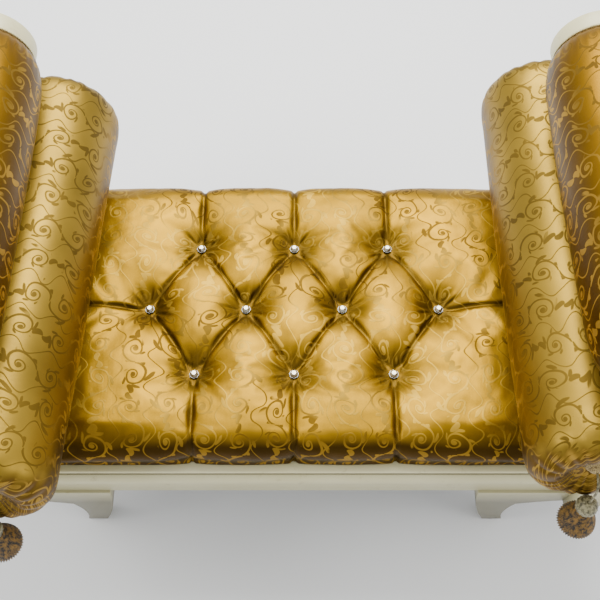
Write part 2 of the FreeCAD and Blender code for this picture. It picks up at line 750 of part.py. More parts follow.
def outside_panel():
    """Upholstered outer face of the arm, from under the roll down to the rail's underside."""
    centre = sweep_centre()
    outer = band_outer - s.panel_reveal
    inner = outer - s.panel_thickness
    sweep = s.board_sweep - s.panel_reveal
    drop = centre[1] - rail_bottom
    back_sweep = sweep - s.panel_thickness
    touch = s.roll_radius + s.soft_gap
    corners = [
        on_circle(roll, touch, s.panel_end),
        on_circle(nest, outer, s.neck_start),
        on_circle(nest, outer, s.sweep_start),
        (centre[0] + square_root(sweep * sweep - drop * drop), rail_bottom),
        (centre[0] + square_root(back_sweep * back_sweep - drop * drop), rail_bottom),
        on_circle(nest, inner, s.sweep_start),
        on_circle(nest, inner, s.neck_start),
        on_circle(roll, touch, s.panel_end_inside),
    ]
    arcs = {
        0: (s.board_neck, 1),
        1: (outer, -1),
        2: (sweep, -1),
        4: (back_sweep, 1),
        5: (inner, 1),
        6: (s.board_neck + s.panel_thickness, -1),
    }
    panel = sawn("panel", "XZ_Plane", corners, arcs, rail_face * 2)
    place(panel)
    return panel


front_board = scroll_board()
back_board = mirrored("back_board", front_board, DEEP)
batten_bar = rod("batten", s.batten_radius, rail_face * 2, roll[0], -rail_face, roll[1], "y")
batten = cut("batten_bored", batten_bar, dowel_holes)
lower_batten = slab("lower_batten", s.lower_batten_width, rail_back * 2, s.lower_batten_width,
                    end_rail_outer + s.lower_batten_width / 2, 0, rail_bottom)
arm_pieces = [
    ("arm_front_board", front_board),
    ("arm_back_board", back_board),
    ("arm_roll_batten", batten),
    ("arm_lower_batten", lower_batten),
    ("arm_web", arm_web()),
    ("arm_belly_pad", arm_padding()),
    ("arm_roll_pad", roll_pad()),
    ("arm_cord_trim", roll_trim()),
    ("arm_outside_panel", outside_panel()),
]
for label, piece in arm_pieces:
    node(piece, "right_" + label)
    node(mirrored("left_" + piece.Name, piece, ALONG), "left_" + label)


# Seat: webbing, hessian and foam inside the tufted cover, with its buttons, twines and toggles.

inside_half_depth = s.seat_half_depth - s.cover_edge
inside_half_length = seat_half_length - s.cover_end_edge
inside_length = inside_half_length * 2 - s.soft_gap * 2
inside_depth = inside_half_depth * 2 - s.soft_gap * 2
strap_top = rail_top + s.strap_thickness
hessian_bottom = strap_top + s.strap_thickness
foam_bottom = hessian_bottom + s.hessian_thickness
foam_top = foam_bottom + s.foam_height
tuft_floor = s.seat_top - s.tuft_depth

# The straps run midway between the twines, so the first lies a quarter of a pitch from the middle.
cross_strap_length = (rail_back + s.strap_margin) * 2
cross_straps = []
for step in [index / 2 + 0.25 for index in range(-6, 6)]:
    cross_straps.append(slab("cross_strap", s.strap_width, cross_strap_length, s.strap_thickness,
                             s.tuft_pitch_x * step, 0, rail_top))
node(group("cross_webbing", cross_straps), "webbing_across")

long_straps = []
for step in [index + 0.5 for index in range(-2, 2)]:
    long_straps.append(slab("long_strap", inside_length, s.strap_width, s.strap_thickness,
                            0, s.tuft_row_shift + s.tuft_pitch_y * step, strap_top))
node(group("long_webbing", long_straps), "webbing_lengthwise")

twine_holes = twine_rods("twine_holes", s.twine_radius + s.wood_fit, hessian_bottom, tuft_floor)
hessian = slab("hessian", inside_length, inside_depth, s.hessian_thickness, 0, 0, hessian_bottom)
node(cut("hessian_pierced", hessian, twine_holes), "seat_hessian")
foam = slab("foam", inside_length, inside_depth, s.foam_height, 0, 0, foam_bottom)
node(cut("foam_pierced", foam, twine_holes), "seat_foam")
node(twine_rods("twines", s.twine_radius, hessian_bottom, tuft_floor), "tufting_twines")

toggles = [slab("toggle", s.toggle_width, s.toggle_width, s.toggle_height,
                x, y, hessian_bottom - s.toggle_height) for x, y in tufts]
node(group("toggle_set", toggles), "twine_toggles")


def crown_height(y):
    """Height of the seat's top at a distance from its middle plane."""
    reach = (s.seat_half_depth - s.seat_shoulder).value
    radius = bow(s.seat_half_depth - s.seat_shoulder, s.seat_crown).value
    y = min(abs(y), reach)
    return s.seat_top.value - radius + math.sqrt(radius**2 - y**2)


def seat_block():
    """Seat before tufting: crowned across its depth, drawn in at the sides, rounded at its ends."""
    depth = s.seat_half_depth.value
    length = seat_half_length.value
    low = rail_top.value
    shoulder = s.seat_shoulder.value
    high = s.seat_top.value
    edge = high - s.seat_crown.value
    turn_z = edge - shoulder
    diagonal = shoulder * math.sqrt(0.5)
    tuck = s.seat_tuck.value

    def side(sign):
        foot = Vector(0, sign * depth, low)
        waist = Vector(0, sign * (depth - tuck), (low + turn_z) / 2)
        turn = Vector(0, sign * depth, turn_z)
        corner = Vector(0, sign * (depth - shoulder + diagonal), turn_z + diagonal)
        top = Vector(0, sign * (depth - shoulder), edge)
        return foot, waist, turn, corner, top

    foot_a, waist_a, turn_a, corner_a, top_a = side(-1)
    foot_b, waist_b, turn_b, corner_b, top_b = side(1)
    across = face_of([
        Part.Arc(foot_a, waist_a, turn_a).toShape(),
        Part.Arc(turn_a, corner_a, top_a).toShape(),
        Part.Arc(top_a, Vector(0, 0, high), top_b).toShape(),
        Part.Arc(top_b, corner_b, turn_b).toShape(),
        Part.Arc(turn_b, waist_b, foot_b).toShape(),
        Part.LineSegment(foot_b, foot_a).toShape(),
    ])
    across.translate(Vector(-length, 0, 0))
    crowned = across.extrude(Vector(2 * length, 0, 0))

    ease = shoulder * 0.6
    lid = high + 1
    inner = ease * (1 - math.sqrt(0.5))
    along = face_of([
        Part.LineSegment(Vector(-length, 0, low), Vector(-length, 0, lid - ease)).toShape(),
        Part.Arc(Vector(-length, 0, lid - ease), Vector(-length + inner, 0, lid - inner),
                 Vector(-length + ease, 0, lid)).toShape(),
        Part.LineSegment(Vector(-length + ease, 0, lid), Vector(length - ease, 0, lid)).toShape(),
        Part.Arc(Vector(length - ease, 0, lid), Vector(length - inner, 0, lid - inner),
                 Vector(length, 0, lid - ease)).toShape(),
        Part.LineSegment(Vector(length, 0, lid - ease), Vector(length, 0, low)).toShape(),
        Part.LineSegment(Vector(length, 0, low), Vector(-length, 0, low)).toShape(),
    ])
    along.translate(Vector(0, -2 * depth, 0))
    rounded = along.extrude(Vector(0, 4 * depth, 0))
    return crowned.common(rounded)


def fold(width, depth, clear):
    """Cross-section of a fold: full shoulders that meet in a crease, as offset and height, closed above."""
    half = [(width, 1)] + [(width * out, -depth * down) for out, down in FOLD_FORM]
    crease = [(-offset, height) for offset, height in half] + [(0, -depth)] + half[::-1]
    return crease + [(width, clear), (-width, clear)]


def pleat(start, end):
    """Room taken by a pleat that runs level between two points of the seat's top."""
    run = Vector(end.x - start.x, end.y - start.y, 0)
    across = Vector(-run.y, run.x, 0).normalize()
    depth = s.pleat_depth.value
    corners = [start + across * offset + Vector(0, 0, height)
               for offset, height in fold(s.pleat_half_width.value, depth, 3 * depth)]
    return face_of(Part.makePolygon(corners + corners[:1]).Edges).extrude(run)


def edge_pleat(x, sign):
    """Room taken by a pleat down the front or back edge of the seat."""
    depth = s.pleat_depth.value * s.edge_pleat_part.value
    width = s.pleat_half_width.value * s.edge_pleat_part.value
    corners = [Vector(x + offset, sign * (s.seat_half_depth.value + height), rail_top.value)
               for offset, height in fold(width, depth, depth)]
    return face_of(Part.makePolygon(corners + corners[:1]).Edges).extrude(Vector(0, 0, s.seat_drop.value))


def tuft_funnel(x, y):
    """Room taken by the gathered funnel over one button, drawn in at every other corner."""
    floor = tuft_floor.value
    rim = crown_height(y) + 1
    draw = s.gather_draw.value
    inner = (s.button_radius.value + s.soft_gap.value) / draw
    span = s.tuft_radius.value - inner
    drop = rim - floor
    rings = []
    for out, up in FUNNEL_FORM:
        radius = inner + span * out
        rings.append(ring_of([radius, radius * draw] * s.tuft_gathers.integer(), floor + drop * up))
    rings.append([corner + Vector(0, 0, s.tuft_depth.value) for corner in rings[-1]])
    funnel = facets_between(rings)
    funnel.translate(Vector(x, y, 0))
    return funnel


def tufted_cover():
    """Seat cover with its funnels, the diamond pleats between them and the pleats that run to the edges."""
    places = [(x.value, y.value) for x, y in tufts]
    pitch_x = s.tuft_pitch_x.value
    pitch_y = s.tuft_pitch_y.value
    tools = [tuft_funnel(x, y) for x, y in places]

    def on_top(x, y):
        return Vector(x, y, crown_height(y))

    for index, (x, y) in enumerate(places):
        for other_x, other_y in places[index + 1:]:
            beside = abs(abs(other_x - x) - pitch_x / 2) < 1
            if beside and abs(other_y - y - pitch_y) < 1:
                tools.append(pleat(on_top(x, y), on_top(other_x, other_y)))
    middle_y = s.tuft_row_shift.value
    for x, y in places:
        if y < middle_y - 1 or y > middle_y + 1:
            sign = -1 if y < middle_y else 1
            tools.append(pleat(on_top(x, y), on_top(x, sign * (s.seat_half_depth.value + PAST_EDGE))))
            tools.append(edge_pleat(x, sign))
    side_x = max(x for x, y in places)
    end_x = seat_half_length.value + PAST_EDGE
    for sign in (-1, 1):
        tools.append(pleat(on_top(sign * side_x, middle_y), on_top(sign * end_x, middle_y)))
    half_x = inside_half_length.value
    half_y = inside_half_depth.value
    height = (foam_top - rail_top).value
    room = Part.makeBox(2 * half_x, 2 * half_y, height, Vector(-half_x, -half_y, rail_top.value))
    return seat_block().cut(tools).cut(room)


cover = doc.addObject("Part::Feature", "cover")
cover.Shape = tufted_cover()
place(cover)
node(cut("cover_pierced", cover, twine_holes), "tufted_seat_cover")

cups = []
crystals = []
for x, y in tufts:
    cup = faceted("cup", 8, [(s.button_radius * out, s.cup_height * up) for out, up in CUP_FORM])
    place(cup, x, y, tuft_floor)
    cups.append(cup)
    crystal = faceted("crystal", 8, [(s.crystal_radius * out, s.crystal_height * up)
                                     for out, up in CRYSTAL_FORM])
    place(crystal, x, y, tuft_floor + s.cup_height)
    crystals.append(crystal)
node(group("cup_set", cups), "button_cups")
node(group("crystal_set", crystals), "crystal_buttons")

dust_cover_length = (end_rail_outer + s.lower_batten_width) * 2
dust_cover_depth = (rail_back + s.dust_cover_lap) * 2
dust_cover = slab("dust_cover", dust_cover_length, dust_cover_depth, s.dust_cover_thickness,
                  0, 0, rail_bottom - s.dust_cover_thickness)
node(dust_cover, "dust_cover")


# Bolsters with gathered ends, their rosettes and tassels.

bolster_half = s.bolster_length / 2
rosette_seat = bolster_half - s.bolster_dish
rosette_face = rosette_seat + s.rosette_height
tassel_end = s.tassel_neck + s.tassel_head
# The cord leaves the rosette level, turns down and runs through the tassel's head to the top of its skirt.
tassel_route = [
    (0, 0),
    (s.tassel_reach.value * CORD_LEVEL, 0),
    (s.tassel_reach.value, -s.tassel_neck.value * CORD_TURN),
    (s.tassel_reach.value, -tassel_end.value),
]


def bolster():
    """Crowned roll whose ends are gathered: folds run over the rounded edge and sink towards the rosettes."""
    crown = s.bolster_radius.value
    shoulder = s.bolster_shoulder.value
    rim = s.bolster_rim.value
    edge = crown - s.bolster_taper.value
    fall = edge - rim
    fold = s.gather_depth.value
    half = bolster_half.value
    seat = rosette_seat.value
    waist = s.rosette_radius.value + s.soft_gap.value
    # radius, distance from the middle, and how far every other corner is drawn inwards along the bolster
    profile = [
        (crown, 0, 0),
        (edge, half - shoulder, 0),
    ]
    profile += [(edge - fall * drop, half - shoulder * left, fold * part) for drop, left, part in BOLSTER_END]
    profile += [(rim, half, fold), (waist, seat, 0)]
    rings = []
    for sign, stations in ((-1, profile[:0:-1]), (1, profile)):
        for radius, reach, sink in stations:
            ring = ring_of([radius] * (2 * s.gather_count.integer()), sign * reach)
            for index in range(0, len(ring), 2):
                ring[index].z -= sign * sink
            rings.append(ring)
    cushion = doc.addObject("Part::Feature", "bolster")
    cushion.Shape = facets_between(rings)
    return cushion


def rosette():
    rings = [(s.rosette_radius * out, s.rosette_height * up) for out, up in ROSETTE_FORM]
    return faceted("rosette", 16, rings + [(s.rosette_tip, s.rosette_height)])


def tassel_cord(sign):
    """Six-sided cord that leaves the rosette level and hangs down to the tassel's head."""
    route = [Vector(0, sign * out, down) for out, down in tassel_route]
    edges = []
    last = route[0]
    for before, corner, after in zip(route, route[1:], route[2:]):
        inward = corner - before
        onward = after - corner
        turn = inward.getAngle(onward)
        cut_back = CUT_BACK * min(inward.Length, onward.Length)
        radius = cut_back / math.tan(turn / 2)
        arc_start = corner - inward.normalize() * cut_back
        arc_end = corner + onward.normalize() * cut_back
        to_centre = (arc_start - corner + arc_end - corner).normalize()
        centre = corner + to_centre * (radius / math.cos(turn / 2))
        arc_middle = centre - to_centre * radius
        edges.append(Part.LineSegment(last, arc_start).toShape())
        edges.append(Part.Arc(arc_start, arc_middle, arc_end).toShape())
        last = arc_end
        print("tassel cord bend", round(radius, 1), "mm over", round(math.degrees(turn)), "degrees")
    edges.append(Part.LineSegment(last, route[-1]).toShape())
    path = Part.Wire(edges)
    radius = s.tassel_cord.value
    corners = [Vector(corner.x, 0, corner.y) for corner in ring_of([radius] * 6, 0)]
    section = Part.makePolygon(corners + corners[:1])
    shell = Part.BRepOffsetAPI.MakePipeShell(path)
    shell.add(section)
    shell.build()
    shell.makeSolid()
    tube = shell.shape()
    expected = Part.Face(section).Area * path.Length
    share = round(tube.Volume / expected, 4)
    print("tassel cord", round(path.Length, 1), "mm, volume", share, "of its section")
    return tube


def tassel_head():
    """Knob over the skirt, fullest a little above its middle."""
    rings = [(s.tassel_head_radius * out, -s.tassel_head * down) for out, down in HEAD_FORM]
    knob = faceted("tassel_knob", 12, [(s.skirt_top, -s.tassel_head)] + rings)
    room = s.tassel_cord + s.soft_gap
    bore = faceted("tassel_bore", 6, [(room, -s.tassel_head * 2), (room, s.tassel_head)])
    return cut("tassel_head", knob, bore)


def tassel_skirt():
    """Bell of hanging threads."""
    flare = s.skirt_end - s.skirt_top
    return faceted("tassel_skirt", 16, [(s.skirt_top + flare * out, -s.tassel_head - s.skirt_length * down)
                                        for out, down in SKIRT_FORM])


def lay_on_bolster(thing, lie, reach=0, height=0, stance=Rotation()):
    """Turns a piece with its bolster and sets it at a distance from the bolster's middle."""
    centre_x, centre_y, turn = lie
    thing.Placement = Placement(Vector(), Rotation(Vector(0, 0, 1), turn.value) * stance)
    place(thing, centre_x - reach * sine(turn), centre_y + reach * cosine(turn), bolster_height + height)


bolster_height = s.seat_top + s.soft_gap + s.bolster_radius
bolsters = {
    "left": (-(s.nest_place - s.left_bolster_lean), s.left_bolster_y, s.left_bolster_turn),
    "right": (s.nest_place - s.right_bolster_lean, s.right_bolster_y, as_size(0)),
}
for word, lie in bolsters.items():
    cushion = bolster()
    lay_on_bolster(cushion, lie, stance=along_y)
    node(cushion, word + "_bolster")
    rosettes = []
    for end, sign in (("front", -1), ("back", 1)):
        button = rosette()
        lay_on_bolster(button, lie, rosette_seat * sign, stance=along_y if sign > 0 else along_y.inverted())
        rosettes.append(button)
        cord = doc.addObject("Part::Feature", "tassel_cord")
        cord.Shape = tassel_cord(sign)
        lay_on_bolster(cord, lie, rosette_face * sign)
        node(cord, "{}_{}_tassel_cord".format(word, end))
        hang = (rosette_face + s.tassel_reach) * sign
        for label, make in (("tassel_head", tassel_head), ("tassel_skirt", tassel_skirt)):
            piece = make()
            lay_on_bolster(piece, lie, hang, -s.tassel_neck)
            node(piece, "{}_{}_{}".format(word, end, label))
    node(group("rosette_pair", rosettes), word + "_bolster_rosettes")


doc.recompute()

faults = []
for thing in doc.Objects:
    if "Invalid" in thing.State or "Error" in thing.State:
        faults.append("{} is {}".format(thing.Label, thing.State))
for thing in nodes:
    if thing.Shape.isNull() or not thing.Shape.isValid():
        faults.append("{} has no valid shape".format(thing.Label))
if faults:
    raise RuntimeError("\n".join(faults))

os.makedirs("parts", exist_ok=True)
for thing in nodes:
    thing.Shape.exportStep("parts/{}.step".format(thing.Label))
print(len(nodes), "sub-parts written")
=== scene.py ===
import bpy
import bmesh
import json
import math
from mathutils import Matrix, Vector, noise


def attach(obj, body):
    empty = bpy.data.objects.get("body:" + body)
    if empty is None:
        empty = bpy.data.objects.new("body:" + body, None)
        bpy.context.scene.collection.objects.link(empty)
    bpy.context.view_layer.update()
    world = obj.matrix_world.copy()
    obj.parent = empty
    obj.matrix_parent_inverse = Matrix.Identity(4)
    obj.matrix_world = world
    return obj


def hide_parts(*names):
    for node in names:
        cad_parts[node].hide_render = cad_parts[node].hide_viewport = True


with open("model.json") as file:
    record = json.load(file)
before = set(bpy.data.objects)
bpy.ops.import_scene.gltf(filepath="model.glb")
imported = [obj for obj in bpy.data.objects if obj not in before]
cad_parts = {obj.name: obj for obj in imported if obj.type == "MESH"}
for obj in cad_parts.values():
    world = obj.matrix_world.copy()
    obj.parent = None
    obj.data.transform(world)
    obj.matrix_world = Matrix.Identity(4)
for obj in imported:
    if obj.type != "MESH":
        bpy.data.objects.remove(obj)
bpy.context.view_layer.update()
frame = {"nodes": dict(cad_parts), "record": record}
nodes = frame["nodes"]
bpy.ops.object.select_all(action="DESELECT")
scene = bpy.context.scene


def toLinear(code):
    # sRGB hex to linear colour
    parts = [int(code[i:i + 2], 16) / 255 for i in (0, 2, 4)]
    return [c / 12.92 if c <= 0.04045 else ((c + 0.055) / 1.055) ** 2.4 for c in parts] + [1]


def addNode(tree, kind, settings=None, inputs=None):
    # adds a node and returns its first output; a text among the inputs is a colour
    node = tree.nodes.new(kind)
    for name, value in (settings or {}).items():
        setattr(node, name, value)
    for socket, value in (inputs or {}).items():
        if isinstance(value, bpy.types.NodeSocket):
            tree.links.new(value, node.inputs[socket])
        else:
            node.inputs[socket].default_value = toLinear(value) if isinstance(value, str) else value
    return node.outputs[0] if node.outputs else None


def newMaterial(name):
    material = bpy.data.materials.new(name)
    material.use_nodes = True
    material.node_tree.nodes.clear()
    return material, material.node_tree


def closeMaterial(tree, inputs):
    shader = addNode(tree, "ShaderNodeBsdfPrincipled", {}, inputs)
    addNode(tree, "ShaderNodeOutputMaterial", {}, {"Surface": shader})


def giveMaterial(piece, material):
    piece.data.materials.clear()
    piece.data.materials.append(material)


def standFor(piece, material, node, body):
    # finish, CAD node that it replaces and body that it rides on
    giveMaterial(piece, material)
    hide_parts(node)
    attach(piece, body)


def pick(*pieces):
    # these selected and nothing else, the first one active
    bpy.ops.object.select_all(action="DESELECT")
    for piece in pieces:
        piece.select_set(True)
    bpy.context.view_layer.objects.active = pieces[0]


def meshPiece(name, points, faces, uvs=None):
    # uvs: one pair for each corner of each face, in metres on the cloth
    data = bpy.data.meshes.new(name)
    data.from_pydata([tuple(p) for p in points], [], faces)
    if uvs:
        layer = data.uv_layers.new(name="cloth")
        layer.data.foreach_set("uv", [value for pair in uvs for value in pair])
    piece = bpy.data.objects.new(name, data)
    scene.collection.objects.link(piece)
    shape = bmesh.new()
    shape.from_mesh(data)
    bmesh.ops.remove_doubles(shape, verts=shape.verts, dist=0.00001)
    bmesh.ops.recalc_face_normals(shape, faces=shape.faces)
    shape.to_mesh(data)
    shape.free()
    data.shade_smooth()
    return piece


def clothGrid(name, columns, rows, lay):
    # lay(i, j) gives a point and its place on the cloth; j runs round a closed section
    points, faces, uvs = [], [], []
    table = [[lay(i, j) for j in range(rows + 1)] for i in range(columns + 1)]
    for line in table:
        points += [place for place, cloth in line[:rows]]
    for i in range(columns):
        for j in range(rows):
            after = (j + 1) % rows
            faces.append((i * rows + j, (i + 1) * rows + j, (i + 1) * rows + after, i * rows + after))
            uvs += [table[i][j][1], table[i + 1][j][1], table[i + 1][j + 1][1], table[i][j + 1][1]]
    for i in (0, columns):
        for j in range(rows // 2 - 1):  # ends closed by a strip of small faces
            corners = (j, j + 1, rows - 2 - j, rows - 1 - j)
            faces.append(tuple(i * rows + k for k in corners))
            uvs += [table[i][k][1] for k in corners]
    return meshPiece(name, points, faces, uvs)


padding = dict(frames=20, quality=3, mass=0.4, stiffness=18, bending=1.2)  # cloth over wadding


def puffUp(piece, pressure, cap, pins):
    # cloth blown up a little, so that it gets the small hollows and folds of real padding
    held = piece.vertex_groups.new(name="held")
    for index, weight in enumerate(pins):
        if weight > 0:
            held.add([index], weight, "REPLACE")
    cloth = piece.modifiers.new("cloth", "CLOTH")
    rules = cloth.settings
    rules.quality = padding["quality"]
    rules.mass = padding["mass"]
    rules.tension_stiffness = padding["stiffness"]
    rules.compression_stiffness = padding["stiffness"]
    rules.bending_stiffness = padding["bending"]
    rules.use_pressure = True
    rules.uniform_pressure_force = pressure
    rules.vertex_group_mass = "held"
    rules.effector_weights.gravity = 0
    for step in range(1, padding["frames"] + 1):
        scene.frame_set(step)
    shaped = piece.evaluated_get(bpy.context.evaluated_depsgraph_get())
    after = [v.co.copy() for v in shaped.data.vertices]
    piece.modifiers.remove(cloth)
    for vertex, new in zip(piece.data.vertices, after):
        move = new - vertex.co
        if move.length > cap:
            move *= cap / move.length
        vertex.co += move
    piece.vertex_groups.clear()
    scene.frame_set(1)


def refined(piece):
    # one subdivision, so that folds and crowns are round
    level = piece.modifiers.new("finer", "SUBSURF")
    level.levels = 1
    level.render_levels = 1
    pick(piece)
    bpy.ops.object.modifier_apply(modifier="finer")
    piece.select_set(False)


def smoothStep(low, high, value):
    t = min(1, max(0, (value - low) / (high - low)))
    return t * t * (3 - 2 * t)


def curveThrough(knots, count):
    # smooth line of count + 1 points through a few knots (any number of values each)
    line = []
    last = len(knots) - 1
    for step in range(count + 1):
        t = step / count * last
        i = min(int(t), last - 1)
        f = t - i
        a, b = knots[i], knots[i + 1]
        before = knots[max(i - 1, 0)]
        after = knots[min(i + 2, last)]
        line.append(tuple(
            q + ((r - p) * f + (2 * p - 5 * q + 4 * r - s) * f * f + (3 * q - p - 3 * r + s) * f ** 3) / 2
            for p, q, r, s in zip(before, a, b, after)))
    return line


def endToEnd(end, steps, count, radiusAt):
    # outline of a long cushion (radius, place, fold share): one end, the long middle, the same end mirrored
    left = curveThrough([(radius, -y, share) for radius, y, share in end], steps)
    right = curveThrough(end[::-1], steps)
    start, stop = left[-1][1], right[0][1]
    middle = [start + (stop - start) * k / (count + 1) for k in range(1, count + 1)]
    return left + [(radiusAt(y), y, 0) for y in middle] + right


def lengthsAlong(spots):
    run = [0]
    for before, after in zip(spots, spots[1:]):
        run.append(run[-1] + math.dist(before[:2], after[:2]))
    return run


def arcPoints(start, end, radius, side, count):
    # arc of less than half a circle; side 1 where its centre lies left of the way from start to end
    start, end = Vector(start), Vector(end)
    half = (end - start) / 2
    across = Vector((-half.y, half.x)).normalized()
    centre = start + half + across * side * math.sqrt(radius ** 2 - half.length ** 2)
    first = math.atan2(start.y - centre.y, start.x - centre.x)
    last = math.atan2(end.y - centre.y, end.x - centre.x)
    turn = (last - first) % (2 * math.pi) if side > 0 else -((first - last) % (2 * math.pi))
    return [centre + radius * Vector((math.cos(first + turn * k / count), math.sin(first + turn * k / count)))
            for k in range(count + 1)]


camera = dict(place=(0.010, -0.818, 1.860), pitch=60, focal=972, frame=600)  # focal and frame in pixels
eye = bpy.data.cameras.new("camera")
eye.sensor_width = 36
eye.lens = camera["focal"] / camera["frame"] * eye.sensor_width
viewer = bpy.data.objects.new("camera", eye)
viewer.location = camera["place"]
viewer.rotation_euler = (math.radians(90 - camera["pitch"]), 0, 0)
scene.collection.objects.link(viewer)
scene.camera = viewer
print("camera done")

# silk satin damask: warp-faced satin ground, weft-faced figure; the two catch the light on opposite slopes,
# and here that sheen and shade are painted into the colour by the slope of each surface
damask = dict(
    cell=(0.058, 0.110),  # one S of two volutes, half a repeat of the cloth
    volute=0.0240, pitch=0.37, line=0.0013, bud=0.0038,
    leaves=5, leafReach=0.50, leafWidth=0.95, spray=0.0150, vineSway=0.16,
    sharp=1400, budSharp=1200, leafSharp=22, petalSharp=900,  # how crisp the edges are
    drift=0.030, driftScale=15, gapScale=36,  # no two scrolls come out quite alike
    patchScale=6, shadeScale=9, shades=(0.78, 1.18),  # how even the cloth looks as a whole
    # colour of the painted shade at the bottom of the tufts and pleats
    gathered="3C2A02",  # bottom of the tufts and pleats
    thread=0.0011,  # real warp is 0.1 mm, drawn coarser to show
    rough=(0.43, 0.55), metallic=0.88,  # satin shines in its own colour, as a metal does
)
wide, high = damask["cell"]
volute, stroke, sharp = damask["volute"], damask["line"], damask["sharp"]
# the figure, line by line: name of the value, what it starts from, then each operation and what goes in
figureSteps = (
    # place in a cell; the repeat is a half drop, and every second column is mirrored
    ("u", "clothX", "DIVIDE", wide),
    ("odd", "u", "FLOOR", "FLOORED_MODULO", 2),
    ("v", "clothY", "DIVIDE", high),
    ("v", "odd", "MULTIPLY_ADD", 0.5, "v"),
    ("flip", "odd", "MULTIPLY_ADD", -2 * wide, wide),
    ("x", "u", "FRACT", "SUBTRACT", 0.5, "MULTIPLY", "flip"),
    ("y", "v", "FRACT", "MULTIPLY_ADD", high, -high / 2),
    # the lower volute is the upper one turned round
    ("upper", "y", "SIGN"),
    ("x", "x", "MULTIPLY", "upper"),
    ("y", "y", "ABSOLUTE"),
    ("rise", "y", "SUBTRACT", volute),
    ("square", "x", "MULTIPLY", "x"),
    ("reach", "rise", "MULTIPLY_ADD", "rise", "square", "SQRT"),
    ("angle", "rise", "ARCTAN2", "x", "MULTIPLY_ADD", 0.5 / math.pi, 1.25, "FRACT"),
    ("share", "reach", "DIVIDE", volute, "MAXIMUM", 0.02),
    ("turns", "share", "LOGARITHM", damask["pitch"], "SUBTRACT", "angle"),
    # a stem that winds in to a bud
    ("wound", "turns", "ADD", 0.5, "FRACT", "SUBTRACT", 0.5, "ABSOLUTE", "MULTIPLY", "reach"),
    ("stem", "share", "MULTIPLY_ADD", stroke * 0.6, stroke * 0.7, "SUBTRACT", "wound"),
    ("stemMask", "stem", "MULTIPLY_ADD", sharp, 0.5),
    ("inside", "turns", "GREATER_THAN", -0.4),
    ("stemMask", "stemMask", "MULTIPLY", "inside"),
    ("budMask", damask["bud"], "SUBTRACT", "reach", "MULTIPLY_ADD", damask["budSharp"], 0.5),
    # small pointed leaves, some of them left away
    ("tip", "turns", "MULTIPLY", -1 / damask["leafReach"]),
    ("fan", "tip", "MULTIPLY_ADD", 0.10, "angle", "MULTIPLY", damask["leaves"]),
    ("fan", "fan", "FRACT", "SUBTRACT", 0.5, "ABSOLUTE"),
    ("left", 1, "SUBTRACT", "tip"),
    ("leaf", "tip", "MULTIPLY", "left", "MULTIPLY_ADD", damask["leafWidth"], -0.01, "SUBTRACT", "fan"),
    ("leafMask", "leaf", "MULTIPLY", damask["leafSharp"]),
    ("gapMask", "gaps", "MULTIPLY_ADD", 14, -5.4),
    ("leafMask", "leafMask", "MULTIPLY", "gapMask"),
    # a pair of bowed leaves between two S forms
    ("above", "y", "SUBTRACT", high / 2),
    ("away", "above", "MULTIPLY_ADD", "above", "square", "SQRT"),
    ("bow", "away", "MULTIPLY_ADD", 90, 0.5),
    ("petal", "above", "ARCTAN2", "x", "ADD", "bow", "COSINE", "ABSOLUTE", "POWER", 2),
    ("petal", "petal", "MULTIPLY", damask["spray"], "SUBTRACT", "away"),
    ("petalMask", "petal", "MULTIPLY", damask["petalSharp"]),
    # a thin vine that wanders between the columns
    ("wave", "clothY", "MULTIPLY", 4 * math.pi / high, "SINE"),
    ("vine", "wave", "MULTIPLY_ADD", damask["vineSway"], "u", "ADD", 0.5, "FRACT"),
    ("vine", "vine", "SUBTRACT", 0.5, "ABSOLUTE"),
    ("vineMask", "vine", "MULTIPLY_ADD", -sharp * wide, sharp * stroke * 0.8 + 0.5),
    ("figure", "stemMask", "MAXIMUM", "budMask", "MAXIMUM", "leafMask"),
    ("figure", "figure", "MAXIMUM", "petalMask", "MAXIMUM", "vineMask"),
    ("shown", "figure", "MULTIPLY", 0.92),
)
# painted sheen and shade, set for each kind of piece, as the same cloth lies another way to the light on
# each: the slope where the painted colour turns, the lit and shaded colours
seatLook = dict(slope=(0.34, 0.99), groundLit="9C7507", groundSteep="402B00",
                figureDark="5C4204", figureLight="C8A030", figureSteep="94701A")
bolsterLook = dict(slope=(-0.05, 0.55), groundLit="9B7D28", groundSteep="5A3F04",
                   figureDark="604A12", figureLight="6C5416", figureSteep="A8842E")
armLook = dict(slope=(0.30, 0.95), groundLit="8E6604", groundSteep="523800",
               figureDark="4E3802", figureLight="946E18", figureSteep="AC862C")


